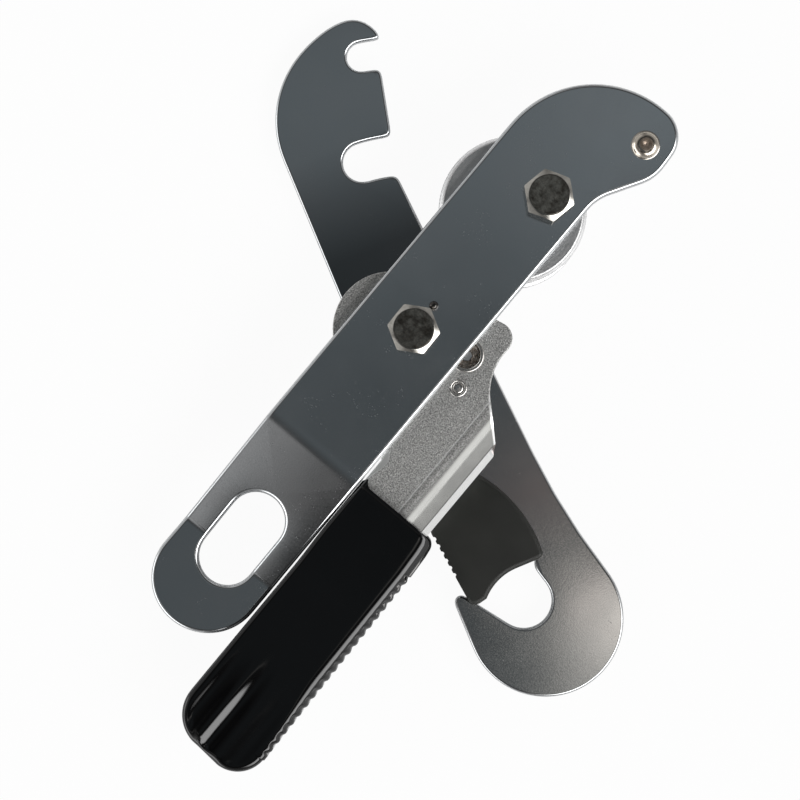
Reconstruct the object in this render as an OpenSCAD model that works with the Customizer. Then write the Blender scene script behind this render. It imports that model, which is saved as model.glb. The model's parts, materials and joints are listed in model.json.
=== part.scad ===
// Self-braking rope descender, opened for loading and lying on its back.
// Millimetres. The origin is the middle of the front plate's carabiner slot.

/* [Side plates] */
// Thickness of each side plate
plate_t = 3; // [2.6:0.1:3.4]
// Width of the straight part of each side plate
plate_w = 32.4; // [30:0.2:34]
// How far the front plate's middle sits left of the cam bolt
plate_x = 0.3; // [0:0.1:0.6]
// How far the swing plate's head stands inside the front plate's
swing_inset = 0.3; // [0.1:0.1:0.6]
// Clear gap between the two side plates
plate_gap = 19; // [18:0.5:22]
// From the cam bolt to the centre of the tail's round end
tail_y = 92; // [91:0.2:96]
// Radius of the head's large arc
head_r = 30.7; // [29.5:0.1:32]
// From the cam bolt to the centre of the head's large arc
head_y = 62.5; // [61.5:0.1:64]
// Radius of the head's crown arc
crown_r = 13.2; // [12.6:0.2:14]
// Direction of the crown arc from the large arc's centre
crown_a = 98.7; // [97:0.1:101]
// Radius of the head's outer corner
corner_r = 9.2; // [8.6:0.2:10]
// Direction of the outer corner from the large arc's centre
corner_a = 87; // [86:0.5:89]
// Radius of the hollow below the head
hollow_r = 14; // [12:0.5:16]
// From the cam bolt to the centre of the hollow below the head
hollow_y = 57.5; // [56:0.5:59]

/* [Front plate joggle] */
// From the cam bolt to the first bend
bend_y = 43.6; // [43:0.2:46]
// Length of the sloping part
bend_run = 39.4; // [36:0.2:42]
// How far the tail drops towards the swing plate
bend_drop = 9; // [7:0.5:10]
// Inside radius of the first bend
bend_r_top = 10; // [6:0.5:14]
// Inside radius of the second bend
bend_r_tail = 3; // [2:0.5:5]

/* [Carabiner slot] */
// Width of the slot
slot_w = 16.6; // [15:0.2:18]
// Overall length of the slot
slot_l = 30.2; // [28:0.2:32]
// From the cam bolt to the middle of the slot
slot_y = 77.3; // [76:0.1:79]

/* [Bolts] */
// Diameter of both bolts
bolt_d = 8; // [7:0.5:9]
// Width across the flats of both heads
hex_af = 13; // [12:0.5:14]
// Height of both heads
hex_h = 5.3; // [4.5:0.1:6]
// Diameter of the flat on top of each head
hex_flat_d = 11.4; // [10.5:0.1:11.8]
// How far the upper bolt sits to the right of the cam bolt
upper_x = 5.1; // [4.5:0.1:6]
// How far the upper bolt sits above the cam bolt
upper_y = 53; // [52:0.1:54]
// Turn of the upper bolt's head
upper_turn = -8; // [-30:1:30]
// Diameter of the lock pin beside the cam bolt's head
lock_d = 2.4; // [2:0.1:3]
// How far the lock pin stands out of the plate
lock_h = 2.8; // [2:0.1:4]
// How deep the lock pin is driven into the plate
lock_in = 2; // [1.5:0.1:2.4]

/* [Posts] */
// Outside diameter of the cam post
post_d = 12; // [11.4:0.1:12.6]
// Diameter of the cam post's rear head
post_head_d = 20; // [18:0.5:22]
// Diameter of the upper post's neck
neck_d = 10.9; // [10.4:0.1:11.2]
// Diameter of the upper post's rear head
neck_head_d = 17; // [15.5:0.5:18]
// Height of all three rear heads
rear_head_h = 2.6; // [2:0.1:3.4]
// How far the upper post reaches into the bobbin
spigot_h = 2.6; // [2:0.1:2.8]
// Width of the driver slot in the posts' rear heads
driver_w = 1.6; // [1.2:0.1:2]
// Depth of the driver slot
driver_h = 1.2; // [0.8:0.1:1.6]

/* [Guide pin] */
// How far the guide pin sits right of the outer corner's centre
guide_x = 1.4; // [1:0.1:1.8]
// How far the guide pin sits below the outer corner's centre
guide_y = 2.1; // [1.7:0.1:2.5]
// Diameter of the front dome
dome_d = 7.8; // [7.2:0.1:8.6]
// Height of the front dome
dome_h = 2.1; // [1.6:0.1:2.6]
// Diameter of the dimple in the dome
dimple_d = 2.2; // [1.6:0.1:2.8]
// Diameter of the shank through the front plate
guide_d = 6; // [5.4:0.1:6.4]
// Diameter of the neck that the swing plate hooks on
guide_neck_d = 8; // [7.4:0.1:8.4]
// Diameter of the rear head
guide_head_d = 12; // [11:0.2:13]
// Outside diameter of the spacer sleeve
sleeve_d = 10.4; // [10:0.1:11.4]

/* [Upper bobbin] */
// Centre of the bobbin, to the right of the cam bolt
bobbin_x = -0.4; // [-1:0.1:0.2]
// Centre of the bobbin, above the cam bolt
bobbin_y = 44.3; // [43.8:0.1:45]
// Outside diameter of the bobbin
bobbin_d = 42.2; // [41:0.1:43]
// Radius of the rope groove
groove_r = 6.6; // [6:0.1:7]
// Depth of the rope groove
groove_h = 5; // [4:0.1:5.2]
// Bevel on the bobbin's rims
rim_bevel = 1.2; // [0.6:0.1:1.6]
// Diameter of the dowel that stops the bobbin turning
dowel_d = 4; // [3:0.2:5]
// How far the dowel sits to the left of the bobbin's centre
dowel_x = 5; // [3:0.5:7]
// How far the dowel sits below the bobbin's centre
dowel_y = 8; // [6:0.5:9]
// How deep the dowel sits in the bobbin
dowel_h = 7; // [5:0.5:9]
// How deep the dowel sits in the front plate
dowel_in = 1.8; // [1.2:0.1:2.2]

/* [Cam bobbin] */
// Centre of the cam's round end, left of the cam bolt
cam_x = 4.6; // [4:0.1:5]
// Centre of the cam's round end, below the cam bolt
cam_y = 3.4; // [3:0.1:4]
// Radius of the cam's round end
cam_r = 15; // [14.5:0.1:15.5]
// Radius of the cam's lobe that pinches the rope
lobe_r = 9.1; // [8.6:0.1:9.4]
// Centre of the lobe, right of the cam bolt
lobe_x = 14.6; // [14:0.1:15]
// Centre of the lobe, above the cam bolt
lobe_y = 7; // [6.5:0.1:7.5]
// Radius of the cam's heel
heel_r = 10; // [9.5:0.1:10.5]
// Centre of the heel, right of the cam bolt
heel_x = 15.5; // [15:0.1:16]
// Centre of the heel, below the cam bolt
heel_y = 6.5; // [6:0.1:7]
// Radius of the cam's rope groove
cam_groove_r = 5.6; // [5:0.1:6]
// Depth of the cam's rope groove
cam_groove_h = 3; // [2.6:0.1:3.2]
// Wall of the bush in the cam
bush_t = 1; // [0.8:0.1:1.4]
// Thickness of the two thrust washers
washer_t = 0.5; // [0.4:0.05:0.8]
// Outside diameter of the two thrust washers
washer_d = 20; // [18:0.5:22]

/* [Handle] */
// Thickness of the pressed handle
handle_t = 2.5; // [2:0.1:2.8]
// Width of the handle's arm
arm_w = 24.1; // [23:0.1:25]
// From the cam bolt to the end of the bare arm
arm_y = 42.5; // [42:0.1:44]
// Centre of the handle's round end, left of the cam bolt
palm_x = 5.4; // [5:0.1:6]
// Centre of the handle's round end, below the cam bolt
palm_y = 4; // [3.5:0.1:4.5]
// Radius of the handle's round end
palm_r = 16.5; // [16:0.1:17]
// Centre of the handle's ear, right of the cam bolt
ear_x = 19.2; // [18.8:0.1:19.6]
// Centre of the handle's ear, above the cam bolt
ear_y = 13.3; // [12.8:0.1:13.6]
// Radius of the handle's ear
ear_r = 4.7; // [4.4:0.1:5]
// Radius of the waist between ear and arm
waist_r = 18; // [16:0.5:19]
// Direction of the waist from the ear
waist_a = -4.3; // [-6:0.1:-3]
// Radius of the arm's shoulder
shoulder_r = 8; // [7:0.2:9]
// From the cam bolt to the centre of the shoulder
shoulder_y = 15.2; // [14.6:0.2:17]
// Width of the turned-down right side
turn_w = 10.9; // [10:0.1:12]
// Radius of the turn
turn_r = 9.4; // [9:0.1:10]
// Slope of the facet after the turn
turn_a = 35; // [32:1:38]
// Width of the flared flange
flare_w = 2.1; // [1.8:0.1:2.6]
// Edge radius of the left flange
flange_r = 1.6; // [1:0.1:2]
// From the cam bolt to the top of the left flange
flange_y = 34; // [33:0.5:37]

/* [Handle fasteners] */
// Cam screw, right of the cam bolt
screw_x = 15.9; // [15.5:0.1:16.3]
// Cam screw, above the cam bolt
screw_y = 4.3; // [4:0.1:4.6]
// Diameter of the cam screw's head
screw_head_d = 9; // [8.4:0.1:9.6]
// Diameter of the cam screw
screw_d = 5; // [4.6:0.1:5.4]
// Length of the cam screw
screw_l = 14; // [12:0.5:16]
// Width of the cam screw's hexagon socket
socket_af = 3; // [2.5:0.1:3.4]
// Cam pin, right of the cam bolt
pin_x = 20; // [19.6:0.1:20.2]
// Cam pin, below the cam bolt
pin_y = 4.5; // [4.2:0.1:5]
// Diameter of the cam pin
pin_d = 3; // [2.6:0.1:3.4]
// Diameter of the ring around the cam pin
pin_ring_d = 5; // [4.6:0.1:5.4]
// Length of the cam pin
pin_l = 4.6; // [4:0.1:4.8]

/* [Grip] */
// Length of the grip
grip_l = 87.9; // [84:0.1:90]
// Width at the top of the grip
grip_w_top = 26.6; // [25.2:0.1:27.4]
// Width at the bottom of the grip
grip_w_end = 28.8; // [28:0.1:29.5]
// Where the grip's right edge takes its final slope
grip_knee = 5; // [3:0.5:8]
// Extra width at that place
grip_knee_w = 0.8; // [0.4:0.1:1.2]
// Radius of the bottom left corner
grip_r_left = 11; // [9:0.2:12]
// Radius of the bottom right corner
grip_r_right = 9.5; // [8:0.1:10.5]
// How far the left edge leans in at the bottom
grip_lean = 0.3; // [0:0.1:0.6]
// How much shorter the grip is at its bottom left
grip_rise = 0.6; // [0:0.1:1]
// Edge radius along the grip
grip_edge_r = 4.6; // [3.5:0.1:5.5]
// Grip thickness in front of the arm
grip_cover = 2.2; // [1.8:0.1:2.6]
// From the top of the grip to the first rib
rib_y = 12.5; // [10:0.5:16]
// Number of ribs on the right edge
rib_n = 20; // [16:1:22]
// Distance from rib to rib
rib_pitch = 3.2; // [3:0.1:3.4]
// Depth of the valleys between ribs
rib_h = 0.6; // [0.4:0.05:0.8]
// Radius of the valleys between ribs
rib_r = 1.2; // [1:0.1:1.4]
// Length of the arm's tongue inside the grip
tongue_l = 76; // [60:1:78]
// Width of the arm's tongue inside the grip
tongue_w = 18; // [16:0.5:19]

/* [Swing plate] */
// How far the swing plate is opened
open_angle = 62.4; // [40:0.1:70]
// Right edge below the lower hook, at the top
edge_top_x = 13.2; // [12.8:0.1:13.6]
// Height of that corner above the cam bolt
edge_top_y = 43.6; // [43:0.1:44.2]
// Right edge near the eye
edge_low_x = 19.3; // [18.9:0.1:19.7]
// Distance of that place below the cam bolt
edge_low_y = 52; // [50:0.5:54]
// Radius of the hollow between right edge and end
edge_r = 200; // [180:5:220]
// Radius of the round end
end_r = 23.1; // [22.7:0.1:23.5]
// Centre of the round end, right of the cam bolt
end_x = 3.4; // [3:0.1:3.8]
// Centre of the round end, below the cam bolt
end_y = 92.1; // [91.5:0.1:92.7]
// Radius of the eye
eye_r = 8.3; // [8:0.1:8.6]
// Centre of the eye, left of the cam bolt
eye_x = 0.4; // [0:0.1:0.8]
// Centre of the eye, below the cam bolt
eye_y = 84.7; // [84.2:0.1:85.2]
// Radius of the hook's nose
nose_r = 2; // [1.8:0.1:2.2]
// From the cam bolt to the centre of the nose
nose_y = 78; // [77.6:0.1:78.4]
// From the cam bolt to the top of the eye's mouth
mouth_y = 55; // [54:0.5:57]
// Corner radius at the top of the mouth
mouth_r = 2.5; // [1.5:0.1:3]
// Where the mouth's upper edge turns down
mouth_x = 8; // [7:0.2:9]
// Top of the tooth between the two hooks
tooth_x = 20.9; // [20.6:0.1:21.4]
// Foot of the tooth between the two hooks
tooth_foot_x = 15.6; // [15.4:0.1:16]

/* [Gate] */
// Thickness of the gate
gate_t = 5.9; // [5.4:0.1:6.2]
// Gate pivot, left of the cam bolt
gate_x = 7.5; // [7:0.1:8]
// Gate pivot, below the cam bolt
gate_y = 43; // [42.5:0.1:43.5]
// Radius of the gate's boss
boss_r = 9.6; // [9:0.1:10]
// Radius of the gate's right edge
bow_r = 40.5; // [39:0.5:42]
// Right edge of the gate at its widest
bow_x = 10.2; // [9.8:0.1:10.6]
// Height of the widest place below the cam bolt
bow_y = 70.3; // [69.5:0.1:71]
// Radius of the gate's lower edge
sill_r = 16; // [15:0.5:17]
// Centre of the lower edge, right of the cam bolt
sill_x = 1.2; // [0.8:0.1:1.6]
// Centre of the lower edge, below the cam bolt
sill_y = 90.6; // [90.2:0.1:91]
// Lower right corner of the gate, below the cam bolt
foot_y = 74.6; // [74.2:0.1:75]
// Radius of that corner
foot_r = 1.6; // [1.2:0.1:2]
// Tip of the gate, left of the cam bolt
beak_x = 13; // [12.8:0.1:13.4]
// Tip of the gate, below the cam bolt
beak_y = 77.5; // [77.2:0.1:77.8]
// Radius of the tip
beak_r = 2.5; // [2.2:0.1:2.7]
// Widest place of the gate's left edge
thumb_x = 17.9; // [17.4:0.1:18.2]
// Distance of that place below the cam bolt
thumb_y = 56; // [55:0.5:57]
// Number of thumb grooves
thumb_n = 6; // [4:1:7]
// Distance from thumb groove to thumb groove
thumb_pitch = 2.4; // [2.2:0.1:2.6]
// Radius of each thumb groove
thumb_r = 0.8; // [0.6:0.05:0.9]
// Radius of the lug that meets the nose
lug_r = 1.6; // [1.3:0.1:1.8]
// Diameter of the gate's rivet
rivet_d = 4; // [3.6:0.1:4.4]
// Diameter of the rivet's head
rivet_head_d = 8; // [7.4:0.1:8.6]
// Height of the rivet's head
rivet_head_h = 1.1; // [0.9:0.1:1.3]
// Depth of the rivet's countersink in the plate
rivet_sink = 1.4; // [1:0.1:1.8]
// Wire diameter of the gate's spring
wire_d = 0.9; // [0.7:0.05:1]
// Mean radius of the spring's coil
coil_r = 4; // [3.7:0.1:4.2]
// Length of the spring's free leg
leg_l = 8; // [7:0.1:8.5]

/* [Clearances] */
// End play of the swing plate and the handle
end_gap = 0.3; // [0.2:0.05:0.5]
// Radial running clearance of pivots
run_gap = 0.04; // [0.02:0.01:0.08]
// Clearance of the hooks around their necks
hook_gap = 0.35; // [0.3:0.05:0.5]
// Clearance between the front plate's edge and the handle
side_gap = 0.5; // [0.3:0.05:0.8]
// Clearance between the gate and the handle passing over it
pass_gap = 0.4; // [0.3:0.05:0.8]
// Clearance around fasteners in their holes
hole_gap = 0.05; // [0.02:0.01:0.1]

/* [Hidden] */
$fn = 96;
half_w = plate_w / 2;
swing_z0 = rear_head_h + end_gap;
swing_z1 = swing_z0 + plate_t;
front_z0 = swing_z1 + plate_gap;
front_z1 = front_z0 + plate_t;
gate_z0 = swing_z1 + end_gap * 2 / 3;
gate_z1 = gate_z0 + gate_t;
handle_z0 = gate_z1 + pass_gap;
handle_z1 = front_z0 - washer_t - end_gap / 3;
web_z0 = handle_z1 - handle_t;
washer_z0 = swing_z1 + end_gap * 2 / 3;
cam_z0 = washer_z0 + washer_t;
bobbin_z0 = swing_z1 + end_gap * 4 / 3;
plate_left = -half_w - plate_x;
plate_right = half_w - plate_x;
arm_x0 = plate_right + side_gap;
arm_x1 = arm_x0 + arm_w;
bend_a = atan(bend_drop / bend_run);
slot_r = slot_w / 2;
slot_z = front_z1 - plate_t / 2 - bend_drop * (slot_y - bend_y) / bend_run;
head_c = [plate_left + head_r, head_y];
crown_c = head_c + (head_r - crown_r) * polar(crown_a);
corner_c = head_c + (head_r - corner_r) * polar(corner_a);
hollow_c = [plate_right + hollow_r, hollow_y];
upper_c = [upper_x, upper_y];
guide_c = corner_c + [guide_x, -guide_y];
bobbin_c = [bobbin_x, bobbin_y];
dowel_c = bobbin_c - [dowel_x, dowel_y];
lock_c = [0, hex_af / sqrt(3) + lock_d / 2 + hole_gap];
palm_c = [-palm_x, -palm_y];
ear_c = [ear_x, ear_y];
waist_c = ear_c + (ear_r + waist_r) * polar(waist_a);
shoulder_c = [arm_x1 - shoulder_r, -shoulder_y];
screw_c = [screw_x, screw_y];
pin_c = [pin_x, -pin_y];
end_c = [end_x, -end_y];
eye_c = [-eye_x, -eye_y];
nose_c = [end_x - end_r + nose_r, -nose_y];
gate_c = [-gate_x, -gate_y];
beak_c = [-beak_x, -beak_y];
bush_d = post_d + 2 * run_gap + 2 * bush_t;
cam_list = [[[-cam_x, -cam_y], cam_r], [[heel_x, -heel_y], heel_r], [[lobe_x, lobe_y], lobe_r]];
gate_pocket_h = 3.5 * wire_d;

function polar(a) = [cos(a), sin(a)];
function heading(v) = atan2(v[1], v[0]);
// Points where a line touches two circles on the same side
function outer_tan(c1, r1, c2, r2, side) =
    let (a = heading(c2 - c1) + side * acos((r1 - r2) / norm(c2 - c1)))
    [c1 + r1 * polar(a), c2 + r2 * polar(a)];
// Points where a line touches two circles on opposite sides
function cross_tan(c1, r1, c2, r2, side) =
    let (a = heading(c2 - c1) + side * acos((r1 + r2) / norm(c2 - c1)))
    [c1 + r1 * polar(a), c2 - r2 * polar(a)];
// Points along an arc
function arc(c, r, a0, a1) =
    let (n = max(2, ceil(abs(a1 - a0) / 5))) [for (i = [0 : n]) c + r * polar(a0 + (a1 - a0) * i / n)];
// Where two circles cross, as a direction from the first one
function meet(c1, r1, c2, r2, side) =
    let (d = norm(c2 - c1))
    heading(c2 - c1) + side * acos((r1 * r1 + d * d - r2 * r2) / (2 * r1 * d));
// Where a line crosses a circle around the cam bolt
function cross_at(p, d, r) =
    let (u = d / norm(d), b = p * u) p + (-b + sqrt(b * b - p * p + r * r)) * u;
// Direction of the outer tangent's normal from one circle of a list to the next
function tan_normal(list, i) =
    let (p = list[i], q = list[(i + 1) % len(list)])
    heading(q[0] - p[0]) - acos((p[1] - q[1]) / norm(q[0] - p[0]));
// Slope and foot of the swing plate's right edge
function edge_top() = [edge_top_x, edge_top_y];
function edge_dir() = let (d = [edge_low_x, -edge_low_y] - edge_top()) d / norm(d);
function edge_out() = [-edge_dir()[1], edge_dir()[0]];
// Centre of the hollow that touches both the right edge and the round end
function edge_c() =
    let (o = edge_top() + edge_r * edge_out() - end_c, b = o * edge_dir(),
        s = -b + sqrt(b * b - o * o + (end_r + edge_r) * (end_r + edge_r)),
        t = -b - sqrt(b * b - o * o + (end_r + edge_r) * (end_r + edge_r)))
    end_c + o + min(s, t) * edge_dir();

module disc(c, r) {
    translate(c) circle(r = r);
}

module slab(z0, z1) {
    translate([0, 0, z0]) linear_extrude(z1 - z0) children();
}

module rod(c, d, z0, z1) {
    translate([c[0], c[1], z0]) cylinder(d = d, h = z1 - z0);
}

module ring_part(c, r_in, r_out, a0, a1) {
    far = 3 * r_out;
    intersection() {
        difference() {
            disc(c, r_out);
            disc(c, r_in);
        }
        polygon([c, c + far * polar(a0), c + far * polar((a0 + a1) / 2), c + far * polar(a1)]);
    }
}

module rounded_chain(list) {
    n = len(list);
    polygon([for (i = [0 : n - 1])
        let (a0 = tan_normal(list, (i + n - 1) % n), a1 = tan_normal(list, i))
        each arc(list[i][0], list[i][1], a0, a0 + a1 - a0 - 360 * floor((a1 - a0) / 360))]);
}

// Moves a piece from the cam bolt's foot to the part's own origin
module placed() {
    translate([0, slot_y, -slot_z]) children();
}

// Moves a piece of the swing plate to its opened place
module opened() {
    placed() rotate([0, 0, open_angle]) children();
}

// The head's edge from a given direction on its corner round to the left edge, drawn in by a given depth
function head_corner(a0, inset) =
    concat(arc(corner_c, corner_r - inset, a0, corner_a), arc(head_c, head_r - inset, corner_a, 180));

// Direction in which the crown's edge runs into the outer corner
function head_a() =
    heading(corner_c - crown_c) - acos((crown_r - corner_r) / norm(corner_c - crown_c));

function head_side() =
    let (t = cross_tan(crown_c, crown_r, hollow_c, hollow_r, 1), a = heading(t[0] - crown_c))
    concat(arc(hollow_c, hollow_r, 180, a + 180), arc(crown_c, crown_r, a, head_a()));

module front_outline_2d() {
    polygon(concat(arc([-plate_x, -tail_y], half_w, 180, 360), head_side(), head_corner(head_a(), 0)));
}

module carabiner_slot() {
    run = slot_l - slot_w;
    z0 = front_z0 - bend_drop - 2;
    z1 = front_z1 + 2;
    translate([-slot_r, -slot_y - run / 2, z0]) cube([slot_w, run, z1 - z0]);
    rod([0, -slot_y - run / 2], slot_w, z0, z1);
    rod([0, -slot_y + run / 2], slot_w, z0, z1);
}

// Side view of the front plate: along the plate, then height
module front_side_2d() {
    r1 = bend_r_top;
    r2 = bend_r_tail;
    c1 = [-bend_y + (r1 + plate_t) * tan(bend_a / 2), front_z0 - r1];
    c2 = [-bend_y - bend_run - r2 * tan(bend_a / 2), front_z1 - bend_drop + r2];
    polygon(concat([[150, front_z0], [150, front_z1]], arc(c1, r1 + plate_t, 90, 90 + bend_a),
        arc(c2, r2, 270 + bend_a, 270), [[-150, front_z1 - bend_drop], [-150, front_z0 - bend_drop]],
        arc(c2, r2 + plate_t, 270, 270 + bend_a), arc(c1, r1, 90 + bend_a, 90)));
}

module front_plate() {
    color([0.62, 0.64, 0.67]) placed() difference() {
        intersection() {
            slab(front_z0 - bend_drop - 1, front_z1 + 1) front_outline_2d();
            translate([-50, 0, 0]) rotate([90, 0, 90]) linear_extrude(100) front_side_2d();
        }
        carabiner_slot();
        rod([0, 0], bolt_d + 2 * hole_gap, front_z0 - 1, front_z1 + 1);
        rod(upper_c, bolt_d + 2 * hole_gap, front_z0 - 1, front_z1 + 1);
        rod(guide_c, guide_d + 2 * hole_gap, front_z0 - 1, front_z1 + 1);
        rod(lock_c, lock_d, front_z1 - lock_in, front_z1 + 1);
        rod(dowel_c, dowel_d, front_z0 - 1, front_z0 + dowel_in);
    }
}

// Both walls and the round bottom of a hook, from one place on its inner wall to one on its outer wall
function hook(c, r, a0, a1) =
    let (h = heading(c))
    concat(arc([0, 0], norm(c) - r, a0, h), arc(c, r, h + 180, h), arc([0, 0], norm(c) + r, h, a1));

module swing_outline_2d() {
    wall = cross_tan(nose_c, nose_r, eye_c, eye_r, 1);
    wall_a = heading(wall[0] - nose_c);
    heel_a = heading(edge_c() - end_c);
    tooth = [tooth_foot_x, 55];
    tooth_d = [tooth_x, 77] - tooth;
    low_r = neck_d / 2 + hook_gap;
    top_r = guide_neck_d / 2 + hook_gap;
    low_a = acos(edge_top_x / (norm(upper_c) - low_r));
    tooth_a0 = heading(cross_at(tooth, tooth_d, norm(upper_c) + low_r));
    tooth_a1 = heading(cross_at(tooth, tooth_d, norm(guide_c) - top_r));
    top_a = meet([0, 0], norm(guide_c) + top_r, corner_c, corner_r - swing_inset, -1);
    top_p = (norm(guide_c) + top_r) * polar(top_a);
    polygon(concat(arc(end_c, end_r, 180, 360 + heel_a),
        arc(edge_c(), edge_r, 180 + heel_a, 180 + heading(edge_out())), [edge_top()],
        hook(upper_c, low_r, low_a, tooth_a0), hook(guide_c, top_r, tooth_a1, top_a),
        head_corner(heading(top_p - corner_c), swing_inset),
        arc([plate_left + swing_inset + mouth_r, -mouth_y + mouth_r], mouth_r, 180, 270),
        [[-mouth_x, -mouth_y], eye_c + [4.9, 13.7]],
        arc(eye_c, eye_r, 10, wall_a - 180), arc(nose_c, nose_r, wall_a, 180)));
}

module swing_plate() {
    color([0.6, 0.62, 0.66]) opened() difference() {
        slab(swing_z0, swing_z1) swing_outline_2d();
        rod([0, 0], post_d + 2 * run_gap, swing_z0 - 1, swing_z1 + 1);
        rod(gate_c, rivet_d, swing_z0 - 1, swing_z1 + 1);
        translate([gate_c[0], gate_c[1], swing_z0])
            cylinder(d1 = rivet_d + 2 * rivet_sink, d2 = rivet_d, h = rivet_sink);
        rod(gate_c + coil_r * polar(60), wire_d, swing_z0 - 1, swing_z1 + 1);
    }
}

module upper_bobbin() {
    r = bobbin_d / 2;
    mid = (bobbin_z0 + front_z0) / 2;
    b = rim_bevel;
    color([0.55, 0.56, 0.57]) placed() difference() {
        translate([bobbin_x, bobbin_y, 0]) rotate_extrude() difference() {
            polygon([[0, bobbin_z0], [r - b, bobbin_z0], [r, bobbin_z0 + b], [r, front_z0 - b],
                [r - b, front_z0], [0, front_z0]]);
            disc([r - groove_h + groove_r, mid], groove_r);
        }
        rod(upper_c, bolt_d + 2 * hole_gap, bobbin_z0 - 1, front_z0 + 1);
        rod(upper_c, neck_d, bobbin_z0 - 1, bobbin_z0 + spigot_h);
        rod(dowel_c, dowel_d, front_z0 - dowel_h, front_z0 + 1);
    }
}

module bobbin_dowel() {
    color([0.7, 0.7, 0.7]) placed() rod(dowel_c, dowel_d, front_z0 - dowel_h, front_z0 + dowel_in);
}

module hex_bolt(c, turn, z_end) {
    r = hex_af / sqrt(3);
    f = hex_flat_d / 2;
    drop = (r - f) * tan(30);
    translate([c[0], c[1], 0]) rotate([0, 0, turn]) {
        intersection() {
            translate([0, 0, front_z1]) rotate([0, 0, 30]) cylinder(r = r, h = hex_h, $fn = 6);
            rotate_extrude() polygon([[0, front_z1], [r, front_z1], [r, front_z1 + hex_h - drop],
                [f, front_z1 + hex_h], [0, front_z1 + hex_h]]);
        }
        translate([0, 0, z_end]) cylinder(d = bolt_d, h = front_z1 - z_end + 0.5);
    }
}

module upper_bolt() {
    color([0.75, 0.75, 0.76]) placed() hex_bolt(upper_c, upper_turn, driver_h + 0.2);
}

module cam_bolt() {
    color([0.75, 0.75, 0.76]) placed() hex_bolt([0, 0], 0, driver_h + 0.2);
}

module driver_slot(c, d) {
    translate([c[0] - d, c[1] - driver_w / 2, -1]) cube([2 * d, driver_w, driver_h + 1]);
}

module upper_post() {
    color([0.68, 0.68, 0.7]) placed() difference() {
        union() {
            rod(upper_c, neck_head_d, 0, rear_head_h);
            rod(upper_c, neck_d, 0, bobbin_z0 + spigot_h);
        }
        rod(upper_c, bolt_d + 2 * hole_gap, -1, bobbin_z0 + spigot_h + 1);
        driver_slot(upper_c, neck_head_d);
    }
}

module cam_post() {
    color([0.68, 0.68, 0.7]) placed() difference() {
        union() {
            rod([0, 0], post_head_d, 0, rear_head_h);
            rod([0, 0], post_d, 0, front_z0);
        }
        rod([0, 0], bolt_d + 2 * hole_gap, -1, front_z0 + 1);
        driver_slot([0, 0], post_head_d);
    }
}

module bolt_lock_pin() {
    color([0.6, 0.6, 0.6]) placed() rod(lock_c, lock_d, front_z1 - lock_in, front_z1 + lock_h);
}

// The cam's outline, drawn in by a given depth
module cam_layer_2d(inset) {
    rounded_chain([for (p = cam_list) [p[0], p[1] - inset]]);
}

module cam_bobbin() {
    mid = (cam_z0 + web_z0) / 2;
    out = cam_groove_r - cam_groove_h;
    color([0.5, 0.51, 0.53]) placed() difference() {
        union() {
            slab(cam_z0, web_z0) cam_layer_2d(cam_groove_h);
            for (k = [0 : 3]) {
                inset = cam_groove_h * k / 4;
                half = sqrt(pow(cam_groove_r, 2) - pow(out + inset, 2));
                slab(cam_z0, mid - half) cam_layer_2d(inset);
                slab(mid + half, web_z0) cam_layer_2d(inset);
            }
        }
        rod([0, 0], bush_d, cam_z0 - 1, web_z0 + 1);
        rod(screw_c, screw_d, handle_z1 - screw_l, web_z0 + 1);
        rod(pin_c, pin_d, handle_z1 - pin_l, web_z0 + 1);
    }
}

module cam_bush() {
    color([0.72, 0.56, 0.3]) placed() difference() {
        rod([0, 0], bush_d, cam_z0, handle_z1);
        rod([0, 0], post_d + 2 * run_gap, cam_z0 - 1, handle_z1 + 1);
    }
}

module thrust_washer(z0) {
    difference() {
        rod([0, 0], washer_d, z0, z0 + washer_t);
        rod([0, 0], post_d + 2 * run_gap, z0 - 1, z0 + washer_t + 1);
    }
}

module front_washer() {
    color([0.85, 0.84, 0.8]) placed() thrust_washer(front_z0 - washer_t);
}

module rear_washer() {
    color([0.85, 0.84, 0.8]) placed() thrust_washer(washer_z0);
}

module handle_outline_2d() {
    top = outer_tan(palm_c, palm_r, ear_c, ear_r, 1);
    low = outer_tan(palm_c, palm_r, [arm_x0, -flange_y], 0, -1);
    neck = cross_tan(shoulder_c, shoulder_r, waist_c, waist_r, -1);
    disc(palm_c, palm_r);
    disc(ear_c, ear_r);
    disc(shoulder_c, shoulder_r);
    difference() {
        polygon([palm_c, top[0], top[1], ear_c, ear_c + ear_r * polar(waist_a), neck[1], neck[0],
            shoulder_c + [shoulder_r, 0], [arm_x1, -arm_y], [arm_x0, -arm_y], [arm_x0, -flange_y], low[0]]);
        disc(waist_c, waist_r);
    }
}

// Cross-section of the handle: across the arm, then height
module handle_section_2d(x_left) {
    x = arm_x1 - turn_w;
    fall = polar(90 - turn_a);
    along = [cos(turn_a), -sin(turn_a)];
    c = [x, handle_z1 - turn_r];
    edge = c + turn_r * fall;
    crest = edge + ((arm_x1 - flare_w - edge[0]) / along[0]) * along;
    foot = [arm_x1, handle_z0];
    down = (foot - crest) / norm(foot - crest);
    inner = c + (turn_r - handle_t) * fall;
    side = crest + handle_t * [down[1], -down[0]];
    k = ((side - inner) * [down[1], -down[0]]) / (along * [down[1], -down[0]]);
    nook = inner + k * along;
    heel = nook + ((handle_z0 - 1 - nook[1]) / down[1]) * down;
    difference() {
        union() {
            polygon([[x_left, handle_z0], [x_left, handle_z1], [x, handle_z1], edge, crest, foot]);
            ring_part(c, 0.5, turn_r, 90 - turn_a, 90);
        }
        ring_part(c, 0.2, turn_r - handle_t, 90 - turn_a, 90);
        polygon([[x_left - 1, handle_z0 - 1], [x_left - 1, web_z0], [x, web_z0], inner, nook, heel]);
    }
}

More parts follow.
